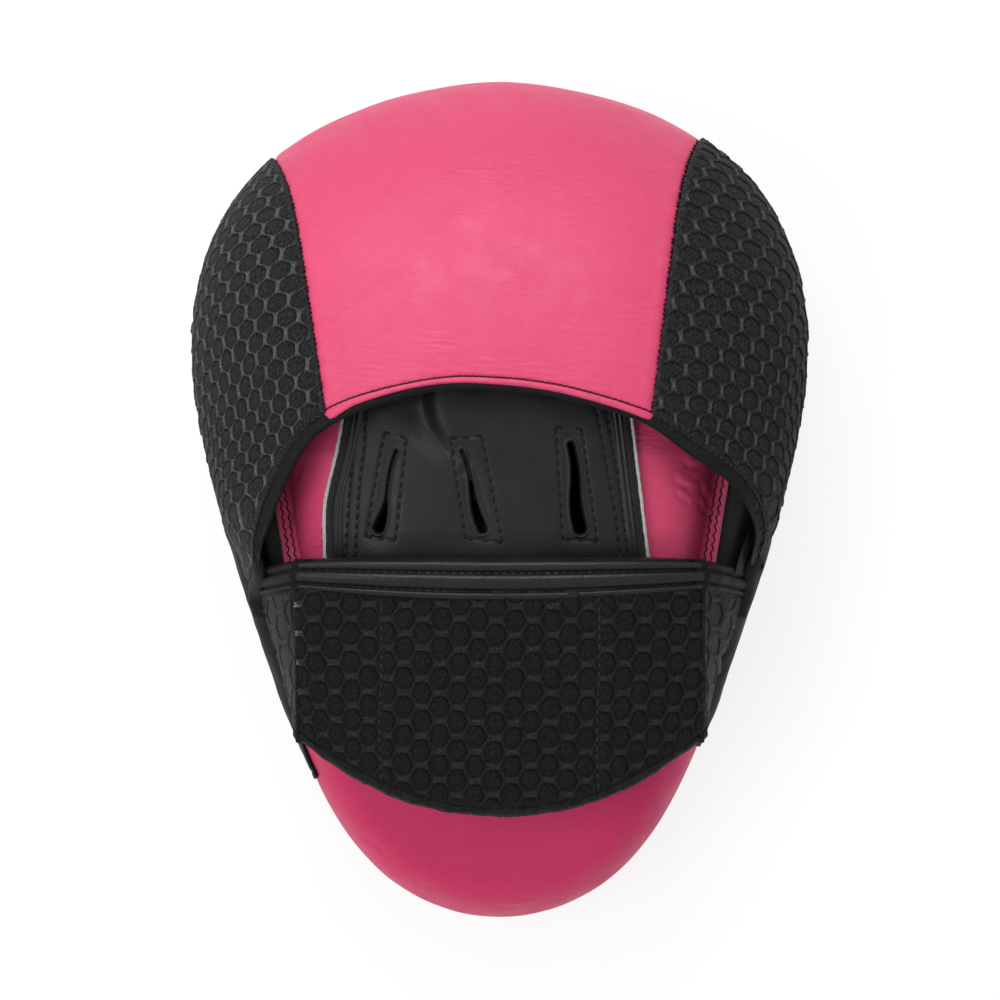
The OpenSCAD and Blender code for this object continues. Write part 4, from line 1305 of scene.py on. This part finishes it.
def hood_wing(name, start, end, seam_at_end, *mesh):
    # Columns along the opening, rows from the opening to the rim
    u = as_row((1, 0, 420))
    v = as_column((0, 90, 225))
    p = hood_patch(start, end, u, v, 0.15)
    seam_col = -1 if seam_at_end else 0
    height, mask, q = wing_relief(p, seam_col, *mesh)
    if seam_at_end:
        mask = mask - 0.22 * np.maximum(mask - 0.3, 0)      # painted shade: this wing faces away from the light, so its ribs are darkened
    p = raised(p, height + settle(p, 1.0))
    return grid_object(name, p, spacer_mesh, {"rib": mask, "cloth": cloth_coords(q[..., 0], q[..., 1])}, turn_in=1.8)


def hood_panel():
    u = as_row((1, 0, 250))
    v = as_column((0, 80, 150), (80.5, 90, 22))
    p = hood_patch(SEAM_RIGHT, SEAM_LEFT, u, v, PANEL_D)
    x, y = p[..., 0], p[..., 1]
    across, along = spans(p)
    from_seam = np.minimum(across, across[:, -1:] - across)
    relief = 0.45 * noise(x, y, 34, 61) + 0.1 * noise(x, y, 11, 62)
    relief = relief - 0.55 * np.exp(-along / 0.8) - 1.0 * np.exp(-from_seam / 0.9) + 0.15 * bell(from_seam - 3.0, 2.2)
    # Small puckers where the leather is gathered into the two seams and the lower hem
    relief = relief + 0.16 * np.sin(along / 1.15 + 3 * noise(x, y, 12, 63)) * np.exp(-from_seam / 3.5)
    relief = relief + 0.1 * np.sin(across / 0.9 + 3 * noise(x, y, 10, 64)) * np.exp(-along / 2.5)
    creases = [((-58.8, 52.8), (-49.5, 54), 0.6, 0.17), ((-57.8, 50), (-47.5, 50.8), 0.55, 0.15),
               ((-56.8, 41.5), (-45.5, 40.5), 0.6, 0.17), ((-61.5, 66), (-54, 69.5), 0.6, 0.13),
               ((-60.5, 61), (-54, 62.5), 0.5, 0.1), ((-56.3, 37.5), (-47, 35.5), 0.55, 0.14),
               ((-59, 57), (-53, 57.6), 0.5, 0.1), ((-57, 45.5), (-50, 45.8), 0.5, 0.1),
               ((34, 38), (48, 31.5), 0.6, 0.13), ((29, 43), (47, 37), 0.6, 0.12), ((37, 48), (50, 43.5), 0.55, 0.12),
               ((37, 33), (46, 29.5), 0.5, 0.12), ((50.5, 58), (44, 60), 0.6, 0.12), ((51.5, 66), (46, 69), 0.6, 0.1)]
    relief = creased(relief, x, y, creases) + settle(p, 1.2)
    return grid_object("hood_skin", raised(p, relief), pink, turn_in=1.0)


def hood_roll():
    """The rolled lower edge of the centre panel, between the topstitch and the tape."""
    a = as_row((SEAM_LEFT[0] + 0.2, SEAM_RIGHT[0] - 0.2, 300))
    turn = as_column((180, -35, 18))
    # Full between the two seams, flat at them
    full = np.sqrt(smooth((a - SEAM_RIGHT[0] + 0.2) / 2.4) * smooth((SEAM_LEFT[0] + 0.2 - a) / 2.4))
    radius = (layer_edge(a) + 0.45 - tape_width(a)) / 2
    middle = tape_width(a) + radius
    grow = middle - radius * cos(180 - turn) * (0.55 + 0.45 * full)
    x, y = opening(a, grow)
    puff = 1 + 0.08 * noise(a * 1.2, 0, 3, 65) + 0.07 * noise(a * 1.2, 0, 1.1, 69)
    p = on_hood(x, y, PANEL_D + 0.35)
    p[..., 2] += 1.0 * sin(turn) * puff * (0.35 + 0.65 * full)
    return grid_object("hood_roll", p, pink)


def tape_depth(a):
    """How far the tape wraps down round the edge of the hood's layers."""
    return MESH + (HOOD_STACK - MESH - PANEL_D - CLEAR) * power(sin(a), 1.2)


def hood_band():
    """The black tape that binds the opening. Beside the centre panel it is wider, with a stitched ridge."""
    a = as_row((TIP_LEFT[0], TIP_RIGHT[0], 760))
    centre = smooth((a - SEAM_RIGHT[0]) / 1.5 + 0.5) * smooth((SEAM_LEFT[0] - a) / 1.5 + 0.5)
    reach = mix(layer_edge(a), tape_width(a) + 0.5, centre)
    # Across the band, from inside the hood to its outer edge: share of its reach, and how deep it lies
    shares = np.array([1.1, 0.35, -0.02, -0.06, -0.02, 0.06, 0.18, 0.3, 0.4, 0.46, 0.52, 0.58, 0.64, 0.7, 0.76, 0.82,
                       0.87, 0.92, 0.96, 1.0, 1.02])[:, None]
    drops = np.array([1.0, 1.0, 0.75, 0.45, 0.22, 0.1, 0.045, 0.02, 0.01, 0.01] + [0.0] * 9 + [0.02, 0.08])[:, None]
    x, y = opening(a, reach * shares)
    lift = mix(0.5, PANEL_D + 0.45, centre) - (1 - centre) * 0.55 * bell(shares - 0.9, 0.05)
    s = np.broadcast_to(a, x.shape) * 1.4
    lift = lift - 0.16 * noise(s, shares * 6, 1.6, 66) - 0.2 * noise(s, 0 * shares, 14, 67)
    lift = lift - (1 - centre) * smooth((shares - 0.4) / 0.1) * (0.3 * noise(s, shares * 7, 0.9, 68) + 0.12)
    p = on_hood(x, y, lift)
    ends = smooth((a - TIP_RIGHT[0]) / 5) * smooth((TIP_LEFT[0] - a) / 5)
    p[..., 2] -= drops * tape_depth(a) * mix(0.5, 1, ends) + 1.6 * (1 - ends)
    return grid_object("hood_band", p, tape_cloth)


TAIL_END_Y = -36
TAIL_INSET = 3.0


def tape_tail(side, tip, name):
    """The end of the opening's tape, sewn down over the pad's edge to the foot of the cuff's gusset."""
    x, y = opening(np.array(tip[0] + 3.0 * side), 1.5)
    start = on_hood(x, y, 1.4)
    share = np.linspace(0, 1, 60)
    x, y = rim(outline_t(mix(start[1], TAIL_END_Y, share)), TAIL_INSET)
    path = bent(side * x, y, back_h(TAIL_INSET) + 0.9)
    path = path + (start - path[0]) * (1 - smooth(share / 0.8))[:, None]
    up = unit(np.array([side * 0.45, 0, 0.9])) + 0 * path
    radius = mix(1.6, 3.3, smooth(share / 0.3)) * (1 + 0.05 * noise(share * 20, 0, 2.0, 95 + side))
    return tube(name, path, up, radius, tape_cloth, sides=16, flat=0.5)


def hood_inner():
    """The lining inside the hood."""
    parts = []
    for start, end, count in ((SEAM_LEFT, TIP_LEFT, 40), (SEAM_RIGHT, SEAM_LEFT, 60), (TIP_RIGHT, SEAM_RIGHT, 40)):
        u = np.linspace(1, 0, count, endpoint=start is TIP_RIGHT)[None]
        v = as_column((0, 78, 50))
        line_angle = mix(start[0], end[0], u)
        shallow = 0.4 + tape_depth(line_angle)
        # It lies under the foam, which ends part of the way down each wing, and turns up behind the tape.
        over_foam = smooth((line_angle - 17) / 9) * smooth((163 - line_angle) / 9)
        x, y = hood_plan(start, end, u, sin(v), 8)
        inside = on_hood(x, y, mix(shallow, HOOD_STACK - 0.1, over_foam) + 0 * v)
        x, y = opening(line_angle, layer_edge(line_angle) - 2.4)
        parts.append(np.concatenate([on_hood(x, y, shallow - 1.3), inside]))
    p = np.concatenate(parts, 1)
    p = raised(p, 0.3 * plan_noise(p, 18, 68))
    return grid_object("hood_inner", p[:, ::-1], lining_cloth)


def hood_rim_tape(side, name, start, end):
    """The narrow tape that sews the mesh down to the pad's side wall."""
    t = np.linspace(start, end, 190)
    x, y = rim(t, HOOD_OUT + 0.6)
    path = drawn_in(x, y, bend(y, SEAT_H - 0.4))
    out = np.stack([cos(t), sin(t), 0 * t], -1)
    tip = start if side > 0 else end
    radius = 1.15 * (1 + 0.06 * noise(t * 1.6, 0, 1.5, 69 + side)) * (0.25 + 0.75 * smooth(np.abs(t - tip) / 6))
    return tube(name, path, out, radius, tape_cloth, sides=10, flat=0.7)


# ---------------------------------------------------------------- cuff

STITCH_LINES = (-36.0, 29.6)
MESH_ROLL, BINDING_ROLL, HEM_ROLL = 2.2, 2.6, 2.0        # radii where the cuff's layers roll over its sides
BINDING_END = 1.065


def cuff_roll(u, v, d, radius):
    """The cuff's surface, which rolls over and down beyond its side edges."""
    over = np.maximum(np.abs(u) - 1, 0) * CUFF_HALF_WIDTH / radius
    a = np.degrees(np.minimum(over, math.pi / 2 * 1.15))
    p = cuff_surface(np.clip(u, -1, 1), v, d)
    p[..., 0] += np.sign(u) * radius * sin(a)
    p[..., 2] -= radius * (1 - cos(a))
    return p


def cuff_skin():
    u = np.concatenate([np.linspace(-1.06, -1, 10)[:-1], np.linspace(-1, 1, 380), np.linspace(1, 1.06, 10)[1:]])[None]
    inner = np.clip(u, -1, 1)
    v = as_column((1.0, 0.0, 240))
    upper, lower = cuff_v(inner, BINDING_WIDTH - 0.6), 1 - cuff_v(inner, HEM_D - 1.0)
    p = cuff_roll(u, mix(upper, lower, v), 0.1, MESH_ROLL)
    across, along = spans(p)
    q = cloth_coords(across - across[:, across.shape[1] // 2][:, None], p[..., 1])
    # The last argument is painted light: how light the thin ribs are, and painted highlights on the lips round the
    # cells
    height, rib = honeycomb(q[..., :2], (0.2, 8.85), (5.65, 4.4), 71, (-17.8, -44.8), 0.85, 0.42, (0.42, 0.05))
    border = np.minimum(along, along[-1][None] - along)
    fade = smooth((border - 0.2) / 1.6)
    x, y = p[..., 0], p[..., 1]
    for place in STITCH_LINES:
        fade = fade * (1 - 0.75 * bell(x - place, 0.9))
    relief = height * fade - 0.35 * (1 - fade)
    relief = relief + 0.9 * noise(x, y, 32, 72) + 0.4 * noise(x, y, 13, 73)
    relief = relief + 0.8 * bell(np.abs(x) - 57.5, 3) + settle(p, 1.5)
    p = raised(p, relief)
    # Painted highlight on the ribs along the cuff's left fold, which faces the light
    rib = rib + 0.7 * smooth((rib - 0.26) / 0.15) * bell(x + 63, 2.6)
    return grid_object("cuff_skin", p, cuff_mesh, {"rib": mix(0.35, rib, fade), "cloth": q}, turn_in=1.6)


# Across the binding from its upper edge: share of its width and height over the cuff
BINDING_SHARES = np.array([-0.16, -0.12, -0.04, 0.04, 0.12, 0.19, 0.235, 0.27, 0.31, 0.37, 0.45, 0.53, 0.61, 0.68,
                           0.73, 0.765, 0.80, 0.84, 0.89, 0.95, 1.0, 1.01])
BINDING_RISE = np.array([-4.5, -1.6, -0.1, 0.65, 0.75, 0.4, -0.45, -0.5, 0.25, 0.95, 1.25, 1.3, 1.15, 0.6,
                         -0.35, -0.45, 0.2, 0.75, 0.85, 0.5, -0.2, -0.9])


def binding_grid(surface, cols, seed, length):
    """Three rolls of leather along an edge. The surface gives a point from a place along it, v and depth."""
    along = as_row((0, 1, cols))
    s = along * length
    share = BINDING_SHARES[::-1][:, None]
    rise = BINDING_RISE[::-1][:, None]
    rise = rise + 0.12 * noise(s, share * 5, 5, seed) * (rise > 0) + 0.07 * noise(s, share * 9, 1.7, seed + 1)
    return surface(along, share * BINDING_V, -rise)


def cuff_binding():
    def surface(along, v, d):
        return cuff_roll(mix(-BINDING_END, BINDING_END, along), v, d, BINDING_ROLL)

    return grid_object("cuff_binding_rolls", binding_grid(surface, 420, 74, 2 * CUFF_HALF_WIDTH), binding_leather)


def cuff_hem():
    u = np.linspace(-1.035, 1.035, 360)
    path = cuff_roll(u, 1 - cuff_v(np.clip(u, -1, 1), HEM_D / 2), CUFF_STACK / 2 - 0.5, HEM_ROLL)
    a = turn_angles(26)[None]
    s = lengths(path)[:, None]
    bump = 0.22 * noise(s, a / 24, 1.0, 75) + 0.3 * noise(s, a / 60, 4.5, 76)
    y = (HEM_D / 2 + bump) * -sin(a)
    z = (CUFF_STACK / 2 - 0.4 + bump) * cos(a)
    p = points(path[:, None, 0] + 0 * y, path[:, None, 1] + y, path[:, None, 2] + z)
    p = np.swapaxes(p, 0, 1)[::-1]
    p = np.concatenate([p, p[:1]])
    q = cloth_coords(s.T + 0 * p[..., 0], as_column((0, 16, len(p))) + 0 * p[..., 0])
    return grid_object("cuff_hem_roll", p, cuff_mesh, {"rib": 0.45 + 0.3 * plan_noise(q, 1.3, 77), "cloth": q})


def cuff_inner():
    u = as_row((-1, 1, 90))
    v = as_column((1, 0, 50))
    p = cuff_surface(u, mix(cuff_v(u, 1.5), 1 - cuff_v(u, 1.5), v), CUFF_STACK - 0.2)
    p = raised(p, 0.3 * plan_noise(p, 14, 78))
    return grid_object("cuff_inner", p[:, ::-1], lining_cloth)


GUSSET_CREASES = {
    -1: [((-66, -50), (-74, -44), 1.0, 0.5)],
    1: [((66, -50), (73, -42), 1.0, 0.9), ((66, -55), (74, -50), 1.0, 0.8), ((65, -44), (71, -36), 0.9, 0.6)],
}


def gusset_skin(side, name):
    w = as_row((0.0, 1.0, 110))
    v = as_column((1, 0, 170))
    start, end = cuff_v(1.0, BINDING_WIDTH - 0.6), 0.99
    share = w if side > 0 else w[:, ::-1]
    p = gusset_point(side, share, mix(start, end, v), 0.1)
    across, along = spans(p)
    q = cloth_coords(mix(across, p[..., 0] * 1.3, 0.75), p[..., 1])
    # The last argument is painted light: thin ribs nearly as light as the wide ones, and painted highlights on the lips
    height, rib = honeycomb(q[..., :2], (0.2, 8.85), (6.6, 4.4), 81 + side, (2.0, 1.0), 0.55, 0.3, (0.9, 0.3))
    border = np.minimum.reduce([across, across[:, -1:] - across, along, along[-1][None] - along])
    fade = smooth((border - 0.4) / 1.6)
    x, y = p[..., 0], p[..., 1]
    relief = 0.8 * height * fade - 0.2 * (1 - fade) + 0.6 * noise(y, p[..., 2], 15, 83 + side) * fade
    p = raised(p, creased(relief, x, y, GUSSET_CREASES[side]))
    return grid_object(name, p, cuff_mesh, {"rib": mix(0.35, rib, fade), "cloth": q}, turn_in=1.2)


# The end of the gusset's binding lies over the end of the cuff's: how much of its length, and how high
LAP = 0.06
LAP_SPAN = 46                # the length of the gusset's upper edge
LAP_RISE = 0.9


def gusset_binding(side, name):
    def surface(along, v, d):
        w = mix(-LAP, 1.0, along if side > 0 else 1 - along)
        p = gusset_point(side, np.maximum(w, 0), v, d)
        over = LAP_SPAN * np.maximum(-w, 0)
        p[..., 0] -= side * over
        p[..., 2] += LAP_RISE * smooth(over / 1.6)
        return p
    return grid_object(name, binding_grid(surface, 130, 85 + side, 34), side_leather)


STRIP_REACH = {-1: 86, 1: 76}
STRIP_TOP_Y = -6
STRIP_FOOT = 11.0            # its lower edge's height at both ends


def side_strip(side, name):
    """The black panel over the pad's side wall, from near the striking face up to the gusset's foot."""
    strip_to = STRIP_REACH[side]
    y = as_column((-strip_to, STRIP_TOP_Y, 170))
    upper = PAD_THICKNESS - 2.0 * smooth((-34 - y) / 12) - 8 * smooth((-60 - y) / 16)
    lower = STRIP_FOOT - 6.5 * smooth((y + strip_to) / 12) * smooth((STRIP_TOP_Y - y) / 12)
    h = mix(lower, upper, as_row((0, 1, 74)))
    if side > 0:
        h = h[:, ::-1]
    out = 1.0 - 0.15 * smooth((h - 24) / 4)
    x, y_out = rim(outline_t(y), side_inset(h) - out)
    end = np.minimum(y + strip_to, 8)
    relief = 0.3 * noise(y_out, h + 0 * y_out, 9, 91 + side) + 0.12 * noise(y_out, h + 0 * y_out, 3.5, 93 + side)
    relief = relief - 0.3 * bell(h - lower - 2.2, 0.5) - 0.3 * bell(end - 2.2, 0.5)
    p = bent(side * x, y_out, h)
    return grid_object(name, raised(p, relief), side_leather, turn_in=1.2)


# ---------------------------------------------------------------- putting the pieces in place, most of them on their bodies

SIDES = ((-1, "left"), (1, "right"))


def place(piece, body, slot, *nodes):
    """Hood and gusset pieces are only baked in place; the others move with their body. The piece stands for those CAD
    nodes, which are hidden. The slot is not used.
    """
    if nodes:
        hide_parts(*nodes)
    if body == "hood":
        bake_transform(piece)
    elif body == "gusset":
        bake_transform(piece)
    else:
        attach(piece, body)
    return piece


# Pad
skin = place(pad_skin(), "mitt", "pink_leather", "pad_cover")
place(piping(), "mitt", "black_leather", "face_piping")
face = place(face_skin(), "mitt", "pink_leather", "face_panel")
dot = place(target(), "mitt", "black_leather", "target_disc")
place(palm_skin(), "mitt", "black_leather", "palm_panel")
ball = place(palm_ball(), "mitt", "black_leather", "palm_ball_cover")
for side, name in SIDES:
    place(side_strip(side, "side_wall_strip_" + name), "mitt", "black_leather", "side_strip_" + name)

# Glove
back = place(glove_back(), "mitt", "black_leather", "glove_back_panel")
walls = {}
for side, name in SIDES:
    walls[side] = place(glove_side(side, "glove_wall_" + name), "mitt", "pink_leather", "glove_side_" + name)
for side, name in SIDES:
    ridges, strip, cut = glove_edges(side, name)
    place(ridges, "mitt", "black_leather", "glove_edge_" + name)
    place(strip, "mitt", "black_leather")
    place(cut, "mitt", "lining")
place(glove_lining(), "mitt", "lining", "glove_lining")
place(palm_lining(), "mitt", "lining", "palm_lining")
for k, x in enumerate(FINGER_WALLS):
    place(divider_wall("finger_wall_%d" % (k + 1), x, 30.0, FINGER_Y + 10), "mitt", "lining", "finger_dividers")
place(divider_wall("thumb_wall", BACK_RIGHT - 3, 4.0, FINGER_Y - 5), "mitt", "lining", "thumb_divider")

# Hood
# Painted light: the left wing's thin ribs and lips are painted lighter than the right wing's, as the light falls from
# the left
wing_left = hood_wing("hood_wing_left", SEAM_LEFT, TIP_LEFT, False,
                      (-73.5, 68.2), (6.7, 1.83), (3.66, 5.8), 101, 0.17, (0.72, 0.3))
wing_right = hood_wing("hood_wing_right", TIP_RIGHT, SEAM_RIGHT, True,
                       (69.3, 53.4), (7.3, -1.2), (3.05, 4.7), 111, 0.4, (0.3, 0.06))
place(wing_left, "hood", "black_mesh", "hood_mesh_left")
place(wing_right, "hood", "black_mesh", "hood_mesh_right")
top = place(hood_panel(), "hood", "pink_leather", "hood_panel")
roll = place(hood_roll(), "hood", "pink_leather", "hood_welt")
band = place(hood_band(), "hood", "black_tape", "hood_tape")
place(hood_inner(), "hood", "lining", "hood_lining")
place(tape_tail(1, TIP_RIGHT, "tape_tail_right"), "hood", "black_tape")
place(tape_tail(-1, TIP_LEFT, "tape_tail_left"), "hood", "black_tape")
place(hood_rim_tape(1, "hood_rim_tape_right", TIP_RIGHT[1], SEAM_RIGHT[1]), "mitt", "black_tape")
place(hood_rim_tape(-1, "hood_rim_tape_left", SEAM_LEFT[1], TIP_LEFT[1]), "mitt", "black_tape")

# Cuff
cuff = place(cuff_skin(), "cuff", "black_mesh", "cuff_panel")
binding = place(cuff_binding(), "cuff", "black_leather", "cuff_binding")
place(cuff_hem(), "cuff", "black_mesh", "cuff_hem")
place(cuff_inner(), "cuff", "lining", "cuff_lining")
gussets = [place(gusset_skin(side, "gusset_mesh_" + name), "gusset", "black_mesh", "gusset_" + name)
           for side, name in SIDES]
for side, name in SIDES:
    place(gusset_binding(side, "gusset_rolls_" + name), "gusset", "black_leather", "gusset_binding_" + name)

# The foams keep their CAD shapes, inside their covers.
for name in ("front_foam", "middle_foam", "back_foam", "palm_ball_core", "hood_foam", "cuff_foam"):
    for slot in bpy.data.objects[name].material_slots:
        slot.material = foam

# Threads on the glove
tree = surface_tree(back)
rows = [laid(tree, line(*corners)) for corners in PANEL_ROWS]
for vent in VENTS:
    corners = vent[-1] + vent[-1][:1]
    rows += [laid(tree, line(first, second)) for first, second in zip(corners[:-1], corners[1:])]
place(stitches("glove_back_stitches", rows, black_thread, 2.15, 0.7, 0.6, tilt=0.25), "mitt", "black_leather")
for side, name in SIDES:
    tree = surface_tree(walls[side])
    y = np.linspace(-GLOVE_TAIL + 1, 34, 160)
    edge = glove_w(y) - GLOVE_SIDE_D
    for reach in (2.0, 4.0):
        path, up = laid(tree, points(side * (edge + reach), y, 60))
        thread = wavy_thread("flange_thread_%s_%d" % (name, reach), path, up, black_thread, 2.8, 0.3)
        place(thread, "mitt", "black_leather")
    path, up = laid(tree, points(side * (edge + FLANGE_WIDTH + 1.7), y, 60))
    place(tube("flange_edge_" + name, path, up, 0.2, flange_edge, sides=6), "mitt", "pink_leather")

# Threads on the hood
tree = surface_tree(top, roll)
a = np.linspace(SEAM_LEFT[0] - 0.3, SEAM_RIGHT[0] + 0.3, 260)
path, up = laid(tree, points(*opening(a, layer_edge(a) + 0.25), 90))
place(wavy_thread("hood_topstitch", path, up, black_thread, 1.9, 0.09, 0.24), "hood", "black_leather")
for name, u, inner, outer in (("left", 1.0, 0.35, 0.85), ("right", 0.0, 0.85, 0.35)):
    v = np.linspace(1, 86, 220)
    path = hood_patch(SEAM_RIGHT, SEAM_LEFT, np.full_like(v, u), v, PANEL_D + 0.25)
    path, up = laid(tree, path, from_above=False)
    thread = cross_stitches("hood_seam_" + name, path, up, black_thread, 1.7, inner, outer, 0.8)
    place(thread, "hood", "black_leather")
tree = surface_tree(band)
rows = []
for first, last in ((TIP_LEFT[0] - 2, SEAM_LEFT[0] + 1), (SEAM_RIGHT[0] - 1, TIP_RIGHT[0] + 2)):
    a = np.linspace(first, last, 200)
    rows.append(laid(tree, points(*opening(a, layer_edge(a) * 0.9), 90)))
place(stitches("tape_stitches", rows, seam_thread, 1.5, 0.7, 0.42, tilt=0.3, lift=0.2), "hood", "black_tape")

# Threads on the cuff
tree = surface_tree(binding)
u = np.linspace(-0.995, 0.995, 300)
rows = [laid(tree, cuff_surface(u, BINDING_V * share, 0)) for share in (0.26, 0.765)]
place(stitches("binding_stitches", rows, black_thread, 1.9, 0.6, 0.5, lift=0.35), "cuff", "black_leather")
tree = surface_tree(cuff)
rows = []
for x in STITCH_LINES:
    y = np.linspace(-CUFF_TOP - BINDING_WIDTH - 1, -CUFF_BOTTOM + 7, 160)
    y = y[y > cuff_lower(x / CUFF_HALF_WIDTH) + HEM_D]
    rows.append(laid(tree, points(x + 0.4 * np.sin(y / 9), y, 90)))
place(stitches("cuff_stitches", rows, seam_thread, 1.7, 1.1, 0.5), "cuff", "black_mesh")

# Threads on the pad
t, _ = around(520)
path = pad_point(t, np.full_like(t, -38.0))
rows = [laid(surface_tree(skin), np.concatenate([path, path[:1]]), from_above=False)]
place(stitches("pad_stitches", rows, black_thread, 2.6, 0.7, 0.6, tilt=0.2), "mitt", "black_leather")
a = np.linspace(0, 360, 240)
x, y = 0.9 * TARGET_D / 2 * cos(a), 0.9 * TARGET_D / 2 * sin(a)
rows = [laid(surface_tree(dot), bent(x, y, -1.0), from_above=False)]
place(stitches("target_stitches", rows, black_thread, 2.2, 0.7, 0.6), "mitt", "black_leather")


# ---------------------------------------------------------------- floor, lights and camera

# Each lamp's position, size and power, and whether it shows in glossy surfaces
LAMPS = {
    "key": ((-0.10, 0.72, 0.82), 0.62, 6.2, True),
    "left": ((-0.64, -0.04, 1.05), 0.5, 2.9, True),
    "fill": ((-0.40, -0.52, 1.0), 0.7, 2.6, False),
}
LAMP_AIM = (0, 0, 0.03)
CAMERA_HEIGHT = 2.030
CAMERA_LENS = 232.3
FLOOR_REACH = 6.0
FLOOR_GAP = 0.0005           # below the object's lowest point
FLOOR_GLOW = 0.83            # the floor's own light where a camera or glossy ray meets it
FLOOR_SHADE = 0.24           # and its shade there
WORLD_LIGHT = 0.29           # the white world's strength for the rays that carry light to the object


def seen_directly(tree):
    """1 for camera, glossy and transmission rays, and 0 for the rays that carry light to the object."""
    path = tree.nodes.new("ShaderNodeLightPath")
    share = path.outputs["Is Camera Ray"]
    for key in ("Is Glossy Ray", "Is Transmission Ray"):
        larger = tree.nodes.new("ShaderNodeMath")
        larger.operation = "MAXIMUM"
        tree.links.new(share, larger.inputs[0])
        tree.links.new(path.outputs[key], larger.inputs[1])
        share = larger.outputs[0]
    return share


floor_mesh = bpy.data.meshes.new("floor")
corners = [(x * FLOOR_REACH, y * FLOOR_REACH, 0) for x, y in ((-1, -1), (1, -1), (1, 1), (-1, 1))]
floor_mesh.from_pydata(corners, [], [(0, 1, 2, 3)])
floor_obj = bpy.data.objects.new("floor", floor_mesh)
floor_obj.location.z = cad_box[0][2] - FLOOR_GAP
bpy.context.scene.collection.objects.link(floor_obj)
floor_shader = Shader("floor_white", 0.9, Specular_IOR_Level=0.1)
pale = floor_shader.blend(floor_shader.ramp(floor_shader.noise(60), 0.3, 0.7), grey(0.93), grey(0.95))
seen_rays = seen_directly(floor_shader.tree)
floor_shader.put("Base Color", floor_shader.blend(seen_rays, pale, grey(FLOOR_SHADE)))
floor_shader.bsdf.inputs["Emission Color"].default_value = (1, 1, 1, 1)
floor_shader.put("Emission Strength", floor_shader.ramp(seen_rays, 0, 1, 0.0, FLOOR_GLOW))
floor_mesh.materials.append(floor_shader.material)

world = bpy.data.worlds.new("studio")
world.use_nodes = True
background = world.node_tree.nodes["Background"]
background.inputs["Color"].default_value = (1, 1, 1, 1)
strength = world.node_tree.nodes.new("ShaderNodeMapRange")
strength.inputs["To Min"].default_value = WORLD_LIGHT
world.node_tree.links.new(seen_directly(world.node_tree), strength.inputs["Value"])
world.node_tree.links.new(strength.outputs["Result"], background.inputs["Strength"])
bpy.context.scene.world = world

for name, (position, size, watts, glossy) in LAMPS.items():
    lamp = bpy.data.lights.new(name, "AREA")
    lamp.size, lamp.energy = size, watts
    lamp_obj = bpy.data.objects.new(name, lamp)
    lamp_obj.location = position
    lamp_obj.rotation_euler = (Vector(LAMP_AIM) - Vector(position)).to_track_quat("-Z", "Y").to_euler()
    lamp_obj.visible_glossy = glossy
    bpy.context.scene.collection.objects.link(lamp_obj)

bpy.context.scene.view_settings.view_transform = "Standard"

camera = bpy.data.cameras.new("camera")
camera.lens = CAMERA_LENS
camera.sensor_width = 36
camera_obj = bpy.data.objects.new("camera", camera)
camera_obj.location = (0, 0, CAMERA_HEIGHT)
bpy.context.scene.collection.objects.link(camera_obj)
bpy.context.scene.camera = camera_obj
